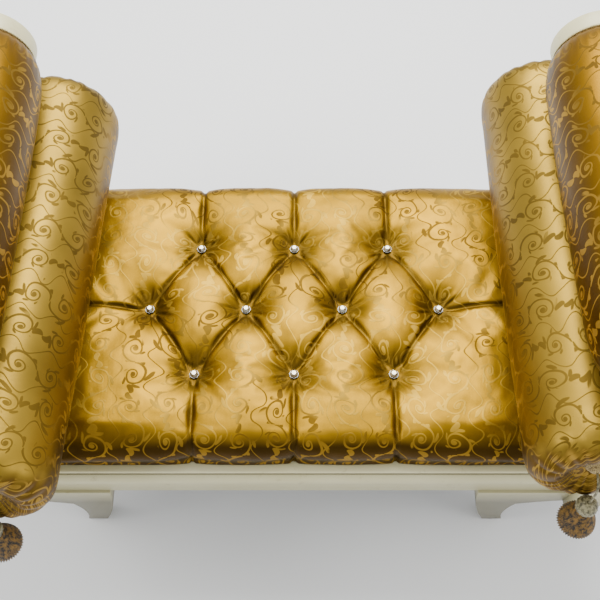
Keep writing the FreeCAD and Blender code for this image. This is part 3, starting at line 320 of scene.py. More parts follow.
def damaskMaterial(name, look):
    material, tree = newMaterial(name)
    cloth = addNode(tree, "ShaderNodeUVMap", {"uv_map": "cloth"})
    drift = addNode(tree, "ShaderNodeTexNoise", {},
                    {"Vector": cloth, "Scale": damask["driftScale"], "Detail": 1})
    drift = addNode(tree, "ShaderNodeVectorMath", {"operation": "SUBTRACT"},
                    {0: drift.node.outputs["Color"], 1: (0.5, 0.5, 0.5)})
    cloth = addNode(tree, "ShaderNodeVectorMath", {"operation": "MULTIPLY_ADD"},
                    {0: drift, 1: (damask["drift"], damask["drift"], 0), 2: cloth})
    parts = addNode(tree, "ShaderNodeSeparateXYZ", {}, {0: cloth})
    gaps = addNode(tree, "ShaderNodeTexNoise", {},
                   {"Vector": cloth, "Scale": damask["gapScale"], "Detail": 0})
    values = {"clothX": parts, "clothY": parts.node.outputs[1], "gaps": gaps}
    for result, value, *chain in figureSteps:
        value = values.get(value, value)
        while chain:
            operation, sources = chain.pop(0), [value]
            while chain and not str(chain[0]).isupper():
                source = chain.pop(0)
                sources.append(values.get(source, source))
            clamped = result.endswith("Mask") and not chain
            value = addNode(tree, "ShaderNodeMath", {"operation": operation, "use_clamp": clamped},
                            dict(enumerate(sources)))
        values[result] = value
    figure = values["figure"]
    # painted sheen and shade: the ground is painted bright where the surface faces up and back and dark where
    # it falls away, the figure the other way round
    paintedSheen = addNode(tree, "ShaderNodeNewGeometry").node.outputs["Normal"]
    paintedSheen = addNode(tree, "ShaderNodeVectorMath", {"operation": "DOT_PRODUCT"},
                     {0: paintedSheen, 1: (0, 0.45, 1)}).node.outputs["Value"]
    paintedSheen = addNode(tree, "ShaderNodeMapRange", {"interpolation_type": "SMOOTHSTEP"},
                     {0: paintedSheen, 1: look["slope"][0], 2: look["slope"][1]})
    patches = addNode(tree, "ShaderNodeTexNoise", {},
                      {"Vector": cloth, "Scale": damask["patchScale"], "Detail": 2})
    patches = addNode(tree, "ShaderNodeMapRange", {}, {0: patches, 1: 0.42, 2: 0.58})
    colours = dict(look)
    for result, share, low, high in (
            ("ground", paintedSheen, "groundSteep", "groundLit"), ("figure", patches, "figureDark", "figureLight"),
            ("figure", paintedSheen, "figureSteep", "figure"), ("cloth", values["shown"], "ground", "figure")):
        colours[result] = addNode(tree, "ShaderNodeMix", {"data_type": "RGBA"},
                                  {0: share, 6: colours[low], 7: colours[high]}).node.outputs[2]
    shade = addNode(tree, "ShaderNodeTexNoise", {},
                    {"Vector": cloth, "Scale": damask["shadeScale"], "Detail": 4})
    shade = addNode(tree, "ShaderNodeMapRange", {},
                    {0: shade, 1: 0.3, 2: 0.7, 3: damask["shades"][0], 4: damask["shades"][1]})
    colour = addNode(tree, "ShaderNodeVectorMath", {"operation": "SCALE"},
                     {0: colours["cloth"], "Scale": shade})
    # painted shade of the seat's creases and gathers, read from its mesh
    drawn = addNode(tree, "ShaderNodeAttribute", {"attribute_name": "drawn"}).node.outputs["Fac"]
    colour = addNode(tree, "ShaderNodeMix", {"data_type": "RGBA"},
                     {0: drawn, 6: colour, 7: damask["gathered"]}).node.outputs[2]
    weave = addNode(tree, "ShaderNodeTexWave", {"bands_direction": "X"}, {
        "Vector": cloth, "Scale": 1 / (damask["thread"] * 20), "Distortion": 0.6, "Detail": 1})
    threads = addNode(tree, "ShaderNodeMath", {"operation": "MULTIPLY"}, {0: weave, 1: 0.12})
    relief = addNode(tree, "ShaderNodeMath", {"operation": "ADD"}, {0: figure, 1: threads})
    bump = addNode(tree, "ShaderNodeBump", {}, {"Height": relief, "Strength": 0.18, "Distance": 0.0006})
    rough = addNode(tree, "ShaderNodeMapRange", {},
                    {0: figure, 3: damask["rough"][0], 4: damask["rough"][1]})
    closeMaterial(tree, {"Base Color": colour, "Roughness": rough, "Normal": bump, "IOR": 1.5,
                         "Metallic": damask["metallic"]})
    return material


enamel = dict(
    light="DFD8AE", dark="C9C08C", worn="9C8C58", glaze="3A3212", footGlaze="3C3416",
    hollow=0.020, feet=(0.19, 0.34),  # reach of the painted shade in the hollows; heights where the painted shade on the legs darkens them towards the feet
    brush=(30, 500, 500),  # brush lines of about 2 mm across, drawn out lengthwise
)


def creamLacquer():
    # cream enamel brushed on beech: soft gloss, faint brush lines; painted shade in the hollows and painted
    # shade on the legs, darker towards the feet
    material, tree = newMaterial("creamLacquer")
    place = addNode(tree, "ShaderNodeTexCoord").node.outputs["Object"]
    cloud = addNode(tree, "ShaderNodeTexNoise", {},
                    {"Vector": place, "Scale": 7, "Detail": 4, "Roughness": 0.6})
    wear = addNode(tree, "ShaderNodeTexNoise", {},
                   {"Vector": place, "Scale": 38, "Detail": 5, "Roughness": 0.7})
    wear = addNode(tree, "ShaderNodeMapRange", {}, {0: wear, 1: 0.60, 2: 0.72, 3: 0, 4: 0.35})
    # painted shade in the hollows, from ambient occlusion
    hollow = addNode(tree, "ShaderNodeAmbientOcclusion", {"samples": 8, "only_local": True},
                     {"Distance": enamel["hollow"]}).node.outputs["AO"]
    hollow = addNode(tree, "ShaderNodeMapRange", {}, {0: hollow, 1: 0.50, 2: 0.92, 3: 0.90, 4: 0})
    # painted shade on the legs under the seat, darker towards the feet
    low = addNode(tree, "ShaderNodeSeparateXYZ", {}, {0: place}).node.outputs[2]
    low = addNode(tree, "ShaderNodeMapRange", {},
                  {0: low, 1: enamel["feet"][0], 2: enamel["feet"][1], 3: 0.85, 4: 0})
    colour = enamel["dark"]
    for share, layer in ((cloud, "light"), (wear, "worn"), (hollow, "glaze"), (low, "footGlaze")):
        colour = addNode(tree, "ShaderNodeMix", {"data_type": "RGBA"},
                         {0: share, 6: colour, 7: enamel[layer]}).node.outputs[2]
    strokes = addNode(tree, "ShaderNodeMapping", {}, {"Vector": place, "Scale": enamel["brush"]})
    strokes = addNode(tree, "ShaderNodeTexNoise", {}, {"Vector": strokes, "Scale": 1, "Detail": 2})
    bump = addNode(tree, "ShaderNodeBump", {}, {"Height": strokes, "Strength": 0.15, "Distance": 0.0004})
    rough = addNode(tree, "ShaderNodeMapRange", {}, {0: cloud, 3: 0.34, 4: 0.48})
    closeMaterial(tree, {"Base Color": colour, "Roughness": rough, "Normal": bump, "IOR": 1.5,
                         "Coat Weight": 0.15, "Coat Roughness": 0.25})
    return material


def twoShades(name, light, dark, texture, relief, finish, stretch=(1, 1, 1), contrast=(0, 1)):
    # two shades that a fine noise mixes, with a slight relief to match
    material, tree = newMaterial(name)
    place = addNode(tree, "ShaderNodeTexCoord").node.outputs["Object"]
    place = addNode(tree, "ShaderNodeMapping", {}, {"Vector": place, "Scale": stretch})
    share = addNode(tree, "ShaderNodeTexNoise", {}, {"Vector": place, **texture})
    share = addNode(tree, "ShaderNodeMapRange", {}, {0: share, 1: contrast[0], 2: contrast[1]})
    colour = addNode(tree, "ShaderNodeMix", {"data_type": "RGBA"},
                     {0: share, 6: dark, 7: light}).node.outputs[2]
    bump = addNode(tree, "ShaderNodeBump", {},
                   {"Height": share, "Strength": relief[0], "Distance": relief[1]})
    closeMaterial(tree, {"Base Color": colour, "Normal": bump, **finish})
    return material


def threadMaterial(name, light, dark, rough, spacing):
    # wound or twisted silk thread: fine light and dark lines, a faint sheen
    return twoShades(name, light, dark, {"Scale": 1 / spacing, "Detail": 2}, (0.3, 0.0008),
                     {"Roughness": rough, "IOR": 1.5, "Sheen Weight": 0.08}, contrast=(0.38, 0.62))


def plainMaterial(name, light, dark, grain, finish):
    # cast, moulded or cut surface with a slight unevenness
    return twoShades(name, light, dark, {"Scale": 1 / grain, "Detail": 3}, (0.1, 0.0003), finish)


def wovenMaterial(name, light, dark, thread):
    # plain weave: over and under squares of two shades
    material, tree = newMaterial(name)
    place = addNode(tree, "ShaderNodeTexCoord").node.outputs["Object"]
    weave = addNode(tree, "ShaderNodeTexChecker", {},
                    {"Vector": place, "Scale": 1 / thread, "Color1": light, "Color2": dark})
    bump = addNode(tree, "ShaderNodeBump", {},
                   {"Height": weave.node.outputs["Fac"], "Strength": 0.4, "Distance": 0.0006})
    closeMaterial(tree, {"Base Color": weave, "Roughness": 0.85, "Normal": bump, "IOR": 1.5})
    return material


seatDamask = damaskMaterial("seatDamask", seatLook)
bolsterDamask = damaskMaterial("bolsterDamask", bolsterLook)
armDamask = damaskMaterial("armDamask", armLook)
lacquer = creamLacquer()
# planed beech left raw inside the frame: pale pink-brown, short darker flecks along the grain
beech = twoShades("rawBeech", "D3AC80", "9C7149", {"Scale": 1, "Detail": 4, "Distortion": 0.4},
                  (0.2, 0.0005), {"Roughness": 0.6, "IOR": 1.5}, stretch=(14, 160, 160))
braidSilk = threadMaterial("braidSilk", "C9B071", "6E5423", 0.5, 0.0016)
lightSilk = threadMaterial("lightSilk", "D8CF9C", "9C8F5C", 0.5, 0.0020)
knobSilk = threadMaterial("knobSilk", "98906A", "4A4428", 0.5, 0.0050)  # threads drawn coarser to show
fringeSilk = threadMaterial("fringeSilk", "8A6418", "140C00", 0.6, 0.0060)
juteWebbing = wovenMaterial("juteWebbing", "A98F62", "7C6540", 0.0030)
hessianCloth = wovenMaterial("hessianCloth", "B89A68", "8A6E45", 0.0022)
blackLining = wovenMaterial("blackLining", "26241F", "14130F", 0.0016)
foamMaterial = plainMaterial("urethaneFoam", "EADFA8", "D6C88C", 0.002, {"Metallic": 0, "Roughness": 0.95})
steelMaterial = plainMaterial("zincSteel", "B9BAB6", "8D8F8C", 0.004, {"Metallic": 1, "Roughness": 0.38})
# cut crystal backed with foil, which gives back most of the light, so it shines like a warm mirror
crystalMaterial = plainMaterial("foiledCrystal", "E8E2CC", "8C8670", 0.003,
                                {"Metallic": 0.85, "Roughness": 0.12})
glideMaterial = plainMaterial("nylonGlide", "4A4239", "2E2924", 0.004,
                              {"Metallic": 0, "Roughness": 0.5, "IOR": 1.53})
print("materials done")

# every CAD node gets its finish, those too that a piece replaces later
finishes = {
    "painted_wood": lacquer, "rail_wood": beech, "webbing": juteWebbing, "hessian": hessianCloth,
    "lining": blackLining, "foam": foamMaterial, "steel": steelMaterial, "crystal": crystalMaterial,
    "glide_plastic": glideMaterial, "gold_braid": braidSilk, "damask": seatDamask,
}
slots = {part["node"]: part["material_slot"] for part in frame["record"]["subparts"]}
for name, thing in nodes.items():
    giveMaterial(thing, finishes[slots[name]])
print("frame finishes done")

wood = dict(ease=0.0022, boards=0.0035)  # radius of the eased edges: legs, scroll boards


def easedWood(nodeName, width):
    # the CAD shape with its sharp edges rounded, as sanded and lacquered wood has them
    piece = nodes[nodeName].copy()
    piece.data = piece.data.copy()
    piece.name = nodeName + "_lacquered"
    for key in list(piece.keys()):
        del piece[key]
    piece.parent = None
    scene.collection.objects.link(piece)
    shape = bmesh.new()
    shape.from_mesh(piece.data)
    bmesh.ops.remove_doubles(shape, verts=shape.verts, dist=0.00002)
    bmesh.ops.dissolve_limit(shape, angle_limit=math.radians(1.5), verts=shape.verts, edges=shape.edges)
    shape.to_mesh(piece.data)
    shape.free()
    bevel = piece.modifiers.new("eased", "BEVEL")
    bevel.width = width
    bevel.segments = 3
    bevel.limit_method = "ANGLE"
    bevel.angle_limit = math.radians(38)
    pick(piece)
    bpy.ops.object.modifier_apply(modifier="eased")
    bpy.ops.object.shade_smooth_by_angle(angle=math.radians(32))
    piece.select_set(False)
    standFor(piece, lacquer, nodeName, "frame")


for side in ("left", "right"):
    for end in ("front", "back"):
        easedWood(side + "_arm_" + end + "_board", wood["boards"])
        easedWood(side + "_" + end + "_leg", wood["ease"])
for end in ("front", "back"):
    easedWood(end + "_seat_rail", wood["ease"] / 2)
print("show-wood done")

seat = dict(
    middle=0.0035, half=0.4903, depth=0.2665,  # half length and half width, centre in y
    top=0.430, crown=0.008, shoulder=0.040, ease=0.018, railTop=0.3553,
    tuftX=0.165, tuftY=0.123, shift=-0.0015, floor=0.4045, button=0.006,
    # the last value on this line and on the next: how dark the painted shade of the creases and of the
    # gathers is
    pleatDepth=0.0100, pleatWidth=0.026, creaseDepth=0.0042, creaseWidth=0.0036, creaseDark=0.80,
    gathers=12, gatherDepth=0.0030, gatherAt=0.024, gatherSpan=0.016, gatherReach=0.085, gatherDark=0.92,
    columns=186, rows=132, under=8,  # rows of the mesh, and how many of them lie underneath
)
# ten tufts in rows of three, four and three
tufts = []
for row, columns in ((-1, (-1, 0, 1)), (0, (-1.5, -0.5, 0.5, 1.5)), (1, (-1, 0, 1))):
    tufts += [Vector((seat["tuftX"] * column, seat["shift"] + seat["tuftY"] * row)) for column in columns]
shoulderReach = seat["depth"] - seat["shoulder"]
shoulderRun = seat["shoulder"] * math.pi / 2
edgeTop = seat["top"] - seat["crown"] - seat["shoulder"]
edgeDrop = edgeTop - seat["railTop"]
clothHalf = shoulderReach + shoulderRun + edgeDrop  # the cloth from the middle down to the rail
# pleats from tuft to tuft in lozenges, and out from the outer tufts to the edges
pleats = []
for index, one in enumerate(tufts):
    for other in tufts[index + 1:]:
        offX = abs(abs(one.x - other.x) - seat["tuftX"] / 2)
        offY = abs(abs(one.y - other.y) - seat["tuftY"])
        if max(offX, offY) < 0.001:
            pleats.append((one, other))
for tuft in tufts:
    if abs(tuft.y - seat["shift"]) > 0.01:
        pleats.append((tuft, Vector((tuft.x, math.copysign(clothHalf, tuft.y)))))
    elif abs(tuft.x) > 0.2:
        pleats.append((tuft, Vector((math.copysign(seat["half"] + 0.01, tuft.x), tuft.y))))


def nearestTuft(x, s):
    spot = Vector((x, s))
    tuft = min(tufts, key=lambda one: (spot - one).length)
    return spot, tuft, (spot - tuft).length


def toSegment(spot, start, end):
    run = end - start
    along = min(1, max(0, (spot - start).dot(run) / run.length_squared))
    return (spot - start - run * along).length, along * run.length


def seatRelief(x, s):
    # how far the tufting draws the cloth in at a place on it
    spot, tuft, nearest = nearestTuft(x, s)
    crease = 0
    for start, end in pleats:
        away, along = toSegment(spot, start, end)
        if away < 0.09:
            toEdge = abs(end.y) > 0.2 or abs(end.x) > 0.4
            fade = 1 - 0.35 * smoothStep(0.02, 0.16, along) if toEdge else 1
            crease = max(crease, fade * math.exp(-(away / seat["pleatWidth"]) ** 1.15))
    room = seat["top"] - seat["crown"] * (min(abs(s), shoulderReach) / shoulderReach) ** 2 - seat["floor"]
    funnel = room * math.exp(-(max(0, nearest - seat["button"]) / 0.030) ** 1.25)
    return funnel + seat["pleatDepth"] * crease * (1 - funnel / room)


def seatCreases(x, s):
    # fine folds that stand in the broad form: sharp crease of each pleat, gathers round each button, and the
    # painted shade in them
    spot, tuft, nearest = nearestTuft(x, s)
    crease = 0
    for start, end in pleats:
        if all(min(a, b) - 0.02 < c < max(a, b) + 0.02 for a, b, c in zip(start, end, spot)):
            away, along = toSegment(spot, start, end)
            wander = 0.0012 * math.sin(along * 90 + start.x * 50)
            crease = max(crease, math.exp(-((away + wander) / seat["creaseWidth"]) ** 2))
    inward = seat["creaseDepth"] * crease
    # painted shade along the crease
    dark = seat["creaseDark"] * crease
    if nearest < seat["gatherReach"]:
        angle = math.atan2(s - tuft.y, x - tuft.x)
        bend = 1.5 * noise.noise(Vector((tuft.x * 9, tuft.y * 9, nearest * 20)))
        wave = 0.6 * math.cos(seat["gathers"] * angle + bend + tuft.x * 40)
        wave += 0.4 * math.cos((seat["gathers"] * 2 - 5) * angle - bend + tuft.y * 60)
        swell = math.exp(-((nearest - seat["gatherAt"]) / seat["gatherSpan"]) ** 2)
        inward += seat["gatherDepth"] * swell * (0.5 - 0.5 * wave)
        # painted shadow out from each button, its length uneven
        stray = noise.noise(Vector((math.cos(angle) * 3 + tuft.x * 7, math.sin(angle) * 3, tuft.y * 7)))
        length = 0.042 + 0.011 * wave + 0.012 * stray
        shadow = (1 - smoothStep(length * 0.30, length * 1.15, nearest)) * (0.80 - 0.20 * wave)
        dark = max(dark, seat["gatherDark"] * shadow)
    return inward, dark


def laySeat(i, j):
    x = -seat["half"] + 2 * seat["half"] * i / seat["columns"]
    top = seat["rows"] - seat["under"]
    if j > top:
        s = clothHalf - 2 * clothHalf * (j - top) / seat["under"]  # underside, flat on the rails
        y = seat["middle"] + max(-seat["depth"], min(seat["depth"], s / clothHalf * seat["depth"]))
        return Vector((x, y, seat["railTop"])), (x, s + 2 * clothHalf)
    s = -clothHalf + 2 * clothHalf * j / top
    reach = abs(s)
    sign = math.copysign(1, s)
    spot, near, nearest = nearestTuft(x, s)
    drawn = seatRelief(x, s)
    drawn -= 0.0011 * noise.noise(Vector((x * 22, s * 26, 1.7)))  # a hand's unevenness of the stuffing
    drawn -= 0.0006 * noise.noise(Vector((x * 70, s * 60, 4)))
    end = seat["half"] - abs(x)
    drop = 0
    if end < seat["ease"]:
        drop = seat["ease"] - math.sqrt(seat["ease"] ** 2 - (seat["ease"] - end) ** 2)
    if reach <= shoulderReach:
        z = seat["top"] - seat["crown"] * (reach / shoulderReach) ** 2 - drop
        place = Vector((x, seat["middle"] + s, max(seat["floor"], z - drawn)))
    elif reach <= shoulderReach + shoulderRun:
        angle = (reach - shoulderReach) / seat["shoulder"]
        radius = seat["shoulder"] - drawn * 0.9
        place = Vector((x, seat["middle"] + sign * (shoulderReach + radius * math.sin(angle)),
                        edgeTop + radius * math.cos(angle) - drop))
    else:
        down = reach - shoulderReach - shoulderRun
        tuck = 0.004 * math.sin(math.pi * min(1, down / edgeDrop))
        fade = 1 - smoothStep(0.6, 1, down / edgeDrop)
        place = Vector((x, seat["middle"] + sign * (seat["depth"] - tuck - drawn * (0.35 + 0.55 * fade)),
                        edgeTop - down - drop * fade))
    pulled = 0.5 * math.exp(-(nearest / 0.045) ** 2)  # the figure is drawn towards the button
    return place, (x + (x - near.x) * pulled, s + (s - near.y) * pulled)


seatPiece = clothGrid("seat_upholstery", seat["columns"], seat["rows"], laySeat)
seatPins = []
for vertex in seatPiece.data.vertices:
    x, y, z = vertex.co
    spot, tuft, nearest = nearestTuft(x, y - seat["middle"])
    held = nearest < 0.011 or z < seat["railTop"] + 0.006 or abs(x) > seat["half"] - 0.004
    seatPins.append(1.0 if held else 0.0)
puffUp(seatPiece, 2.0, 0.004, seatPins)
refined(seatPiece)
normals = [vertex.normal.copy() for vertex in seatPiece.data.vertices]
# painted shade of the creases and gathers, stored on the mesh for the damask
paintedFoldShade = seatPiece.data.attributes.new("drawn", "FLOAT", "POINT")
for index, vertex in enumerate(seatPiece.data.vertices):
    x, y, z = vertex.co
    across = y - seat["middle"]
    if z < seat["railTop"] + 0.002:
        continue
    onTop = abs(across) < shoulderReach
    s = across  # place on the cloth, over the rounded edge too
    if not onTop and z < edgeTop:
        s = math.copysign(shoulderReach + shoulderRun + edgeTop - z, across)
    elif not onTop:
        turned = math.atan2(abs(across) - shoulderReach, z - edgeTop)
        s = math.copysign(shoulderReach + seat["shoulder"] * turned, across)
    inward, dark = seatCreases(x, s)
    if onTop:
        inward = min(inward, max(0, z - seat["floor"]))
    vertex.co = vertex.co - normals[index] * inward
    paintedFoldShade.data[index].value = dark
standFor(seatPiece, seatDamask, "tufted_seat_cover", "frame")
print("seat done")

bolsterShape = dict(
    half=0.365, crown=0.103, edge=0.101, shoulder=0.036, rim=0.064, dish=0.022, waist=0.0173,
    gathers=20, fold=0.0050, around=120, lift=0.5333,  # folds of each end; height of the axis
)
bolsters = {
    "left": dict(centre=(-0.4253, -0.018), turn=-2.5),
    "right": dict(centre=(0.435, 0.0185), turn=0.0),
}


def lying(word):
    # middle of a bolster, the way it lies, and the level way across it
    turn = math.radians(bolsters[word]["turn"])
    centre = Vector((*bolsters[word]["centre"], bolsterShape["lift"]))
    return centre, Vector((-math.sin(turn), math.cos(turn), 0)), Vector((math.cos(turn), math.sin(turn), 0))


def bolsterProfile():
    # radius, distance from the middle and fold share from one rosette to the other
    half, crown, edge, shoulder, rim, dish, waist = (
        bolsterShape[key] for key in ("half", "crown", "edge", "shoulder", "rim", "dish", "waist"))
    inside = half - dish
    end = [
        (waist * 0.25, inside - 0.001, 0),
        (waist, inside, 0.2),
        (waist + (rim - waist) * 0.35, inside + dish * 0.35, 0.7),
        (waist + (rim - waist) * 0.75, inside + dish * 0.86, 1.0),
        (rim, half, 1.0),
        (edge - (edge - rim) * 0.55, half - shoulder * 0.12, 1.0),
        (edge - (edge - rim) * 0.16, half - shoulder * 0.5, 0.45),
        (edge, half - shoulder, 0.15),
        (edge + 0.0006, half - shoulder * 1.7, 0.0),
    ]
    return endToEnd(end, 30, 71, lambda y: crown - (crown - edge) * (y / end[-1][1]) ** 2)


def layBolster(word):
    profile = bolsterProfile()
    run = lengthsAlong(profile)
    centre, axis, out = lying(word)
    around = bolsterShape["around"]

    def lay(i, j):
        radius, reach, share = profile[i]
        angle = 2 * math.pi * j / around
        wander = 0.25 * noise.noise(Vector((math.cos(angle) * 2, math.sin(angle) * 2, 3 if reach > 0 else 9)))
        ridge = abs(math.cos(bolsterShape["gathers"] / 2 * (angle + wander))) ** 0.6
        sink = bolsterShape["fold"] * share * (1 - ridge)
        slack = 0.0016 * noise.noise(Vector((math.cos(angle) * 1.6, reach * 7, math.sin(angle) * 1.6)))
        flare = smoothStep(0, 1, share)
        radius = radius - sink * (1 - 0.6 * flare) + slack * (1 - share)
        reach = reach - math.copysign(sink * flare, reach)
        place = centre + axis * reach + out * (radius * math.cos(angle))
        place.z += radius * math.sin(angle)
        return place, (run[i], angle * min(0.1, max(profile[i][0], 0.03)) + 0.3)

    return lay, len(profile) - 1


for word in bolsters:
    centre, axis, out = lying(word)
    lay, columns = layBolster(word)
    piece = clothGrid(word + "_bolster_cushion", columns, bolsterShape["around"], lay)
    pins = []
    for vertex in piece.data.vertices:
        away = vertex.co - centre
        reach = abs(away.dot(axis))
        radius = (away - axis * away.dot(axis)).length
        tied = radius < 0.026 and reach > bolsterShape["half"] - bolsterShape["dish"] - 0.004
        pins.append(1.0 if tied else 0.6 if reach > 0.32 else 0.0)
    puffUp(piece, 1.5, 0.003, pins)
    refined(piece)
    standFor(piece, bolsterDamask, word + "_bolster", word + "_bolster_body")
    print(word, "bolster done")

# each arm: a padded roll on top, a hollow pad that holds the bolster, and the panel outside
arm = dict(
    railFace=0.2725, middle=0.0035, railTop=0.355, railBottom=0.279, seatTop=0.430, tail=0.4903,
    roll=(0.480, 0.729), rollRadius=0.092, rollSeam=0.062, rollShoulder=0.060, rollCrown=0.0025,
    rollAround=88, rollColumns=110, rollEnd=22,  # mesh of a roll: round it, along it, over each end
    nest=(0.4495, 0.530), nestRadius=0.108, padding=0.018,
    panelOuter=0.174, panelInner=0.176, panel=0.005, neck=0.062, sweep=0.468, innerSweep=0.470,
    panelFoot=(0.470, 0.208), columns=64,
)


def mirroredX(sign, place):
    return Vector((sign * place[0], *place[1:]))


def layRoll(sign):
    a = arm
    face, seam, shoulder = a["railFace"], a["rollSeam"], a["rollShoulder"]
    rim = a["rollRadius"] - a["rollCrown"]
    end = [
        (seam - 0.012, face - 0.0005, 0),
        (seam, face - 0.001, 0),
        (rim - (rim - seam) * 0.62, face - shoulder * 0.10, 0),
        (rim - (rim - seam) * 0.22, face - shoulder * 0.42, 0),
        (rim, face - shoulder, 0),
        (rim + 0.001, face - shoulder * 1.6, 0),
    ]
    long = a["rollColumns"] - 2 * a["rollEnd"] - 1
    profile = endToEnd(end, a["rollEnd"], long,
                       lambda y: a["rollRadius"] - a["rollCrown"] * 0.6 * (abs(y) / 0.18) ** 2)

    def lay(i, j):
        radius, y, share = profile[i]
        angle = 2 * math.pi * j / a["rollAround"]
        end = smoothStep(0.20, 0.262, abs(y))
        pull = 0.0012 * end * math.sin(angle * 34) * (1 - smoothStep(0.262, 0.2725, abs(y)))
        slack = 0.0013 * noise.noise(Vector((math.cos(angle) * 1.5 + sign, y * 6, math.sin(angle) * 1.5)))
        radius = radius + slack * (1 - end) + pull
        place = (a["roll"][0] + radius * math.cos(angle), a["middle"] + y,
                 a["roll"][1] + radius * math.sin(angle))
        return mirroredX(sign, place), (y + 0.02, angle * a["rollRadius"] + 0.07)

    return lay


def sectionPiece(name, section, sign, puff):
    # long padded piece with the same section from board to board, drawn in a little at its ends
    columns = arm["columns"]
    run = lengthsAlong(section + section[:1])
    centre = [sum(spot[k] for spot in section) / len(section) for k in (0, 1)]

    def lay(i, j):
        y = -arm["railFace"] + 2 * arm["railFace"] * i / columns
        spot = section[j % len(section)]
        ease = puff * math.sin(math.pi * i / columns) ** 0.5
        soft = ease * noise.noise(Vector((spot[0] * 9, y * 8, spot[1] * 9 + sign)))
        out = Vector((spot[0] - centre[0], spot[1] - centre[1])).normalized() * soft
        return mirroredX(sign, (spot[0] + out.x, arm["middle"] + y, spot[1] + out.y)), (y, run[j])

    return clothGrid(name, columns, len(section), lay)


def nestPoint(radius, degrees):
    return (arm["nest"][0] + radius * math.cos(math.radians(degrees)),
            arm["nest"][1] + radius * math.sin(math.radians(degrees)))


def hollowSection():
    # inner face round the bolster, down beside the seat to the rail, and back up behind
    inner = arm["nestRadius"]
    outer = inner + arm["padding"]
    low = math.degrees(math.atan2(arm["seatTop"] - arm["nest"][1], arm["tail"] - arm["nest"][0]))
    face = [nestPoint(inner, 80 + (low - 80) * k / 40) for k in range(41)]
    down = [(arm["tail"], arm["seatTop"] + (arm["railTop"] - arm["seatTop"]) * k / 8) for k in range(1, 9)]
    back = [(arm["tail"] + arm["padding"] - 0.0003, arm["railTop"])]
    rise = [nestPoint(outer, -58 + 138 * k / 40) for k in range(41)]
    return face + down + back + rise


def panelSection():
    # from the roll over the belly and in a long sweep down to the rail, and the same way back inside
    a = arm
    foot = a["panelFoot"]
    belly = nestPoint(a["panelInner"], -10)
    halfX, halfZ = (foot[0] - belly[0]) / 2, (foot[1] - belly[1]) / 2
    half = math.hypot(halfX, halfZ)
    rise = math.sqrt(a["innerSweep"] ** 2 - half ** 2)
    centre = (belly[0] + halfX + halfZ / half * rise, belly[1] + halfZ - halfX / half * rise)
    drop = centre[1] - a["railBottom"]
    under = math.radians(-25)
    out = a["rollRadius"] + 0.0003
    start = (a["roll"][0] + out * math.cos(under), a["roll"][1] + out * math.sin(under))
    line = [tuple(p) for p in arcPoints(start, nestPoint(a["panelOuter"], 38), a["neck"], 1, 10)]
    line += [nestPoint(a["panelOuter"], 38 - 48 * k / 24) for k in range(1, 25)]
    low = (centre[0] + math.sqrt(a["sweep"] ** 2 - drop ** 2), a["railBottom"])
    line += [tuple(p) for p in arcPoints(line[-1], low, a["sweep"], -1, 26)][1:]
    back = []
    for index, spot in enumerate(line):
        before = line[max(index - 1, 0)]
        after = line[min(index + 1, len(line) - 1)]
        run = Vector((after[0] - before[0], after[1] - before[1])).normalized()
        back.append((spot[0] + run.y * a["panel"], spot[1] - run.x * a["panel"]))
    return line + back[::-1]


for side, sign in (("left", -1), ("right", 1)):
    piece = clothGrid(side + "_arm_roll", arm["rollColumns"], arm["rollAround"], layRoll(sign))
    ends = arm["railFace"] - 0.012
    pins = [1.0 if abs(v.co.y - arm["middle"]) > ends else 0.0 for v in piece.data.vertices]
    puffUp(piece, 1.5, 0.003, pins)
    refined(piece)
    standFor(piece, armDamask, side + "_arm_roll_pad", "frame")
    piece = sectionPiece(side + "_arm_hollow", hollowSection(), sign, 0.0012)
    standFor(piece, armDamask, side + "_arm_belly_pad", "frame")
    piece = sectionPiece(side + "_arm_outside", panelSection(), sign, 0.0010)
    standFor(piece, armDamask, side + "_arm_outside_panel", "frame")
print("arms done")

# a gold and a light cord side by side along the seam of each roll end
braid = dict(radii=(0.0694, 0.0722), thick=0.0013, reach=250, inset=0.0018, strands=3, pitch=0.007, steps=220)


def twistedCord(name, line, radius, strands, pitch, material):
    # strands laid round each other along a line of points
    count = 4 * strands
    points, faces = [], []
    run = 0
    side = None
    for index, spot in enumerate(line):
        ahead = (line[min(index + 1, len(line) - 1)] - line[max(index - 1, 0)]).normalized()
        if index:
            run += (spot - line[index - 1]).length
        if side is None:
            side = ahead.orthogonal().normalized()
        side = (side - ahead * side.dot(ahead)).normalized()
        across = ahead.cross(side)
        for k in range(count):
            angle = 2 * math.pi * k / count
            wound = angle - 4 * math.pi * run / pitch / strands
            bulge = 0.80 + 0.20 * abs(math.cos(strands / 2 * wound))
            points.append(spot + (side * math.cos(angle) + across * math.sin(angle)) * radius * bulge)
    for i in range(len(line) - 1):
        for k in range(count):
            after = (k + 1) % count
            faces.append((i * count + k, i * count + after, (i + 1) * count + after, (i + 1) * count + k))
    faces.append(tuple(range(count)))
    faces.append(tuple(range((len(line) - 1) * count, len(line) * count)))
    piece = meshPiece(name, points, faces)
    giveMaterial(piece, material)
    return piece


def joined(name, pieces):
    pick(*pieces)
    bpy.ops.object.join()
    pieces[0].name = name
    pieces[0].select_set(False)
    return pieces[0]


for side, sign in (("left", -1), ("right", 1)):
    cords = []
    for face in (-1, 1):
        for radius, silk in zip(braid["radii"], (braidSilk, lightSilk)):
            line = []
            for k in range(braid["steps"] + 1):
                angle = math.radians(90 + braid["reach"] * (k / braid["steps"] - 0.5))
                line.append(mirroredX(sign, (arm["roll"][0] + radius * math.cos(angle),
                                             arm["middle"] + face * (arm["railFace"] - braid["inset"]),
                                             arm["roll"][1] + radius * math.sin(angle))))
            cords.append(
                twistedCord("seam_cord", line, braid["thick"], braid["strands"], braid["pitch"], silk))
    piece = joined(side + "_seam_braid", cords)
    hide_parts(side + "_arm_cord_trim")
    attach(piece, "frame")
print("braid done")

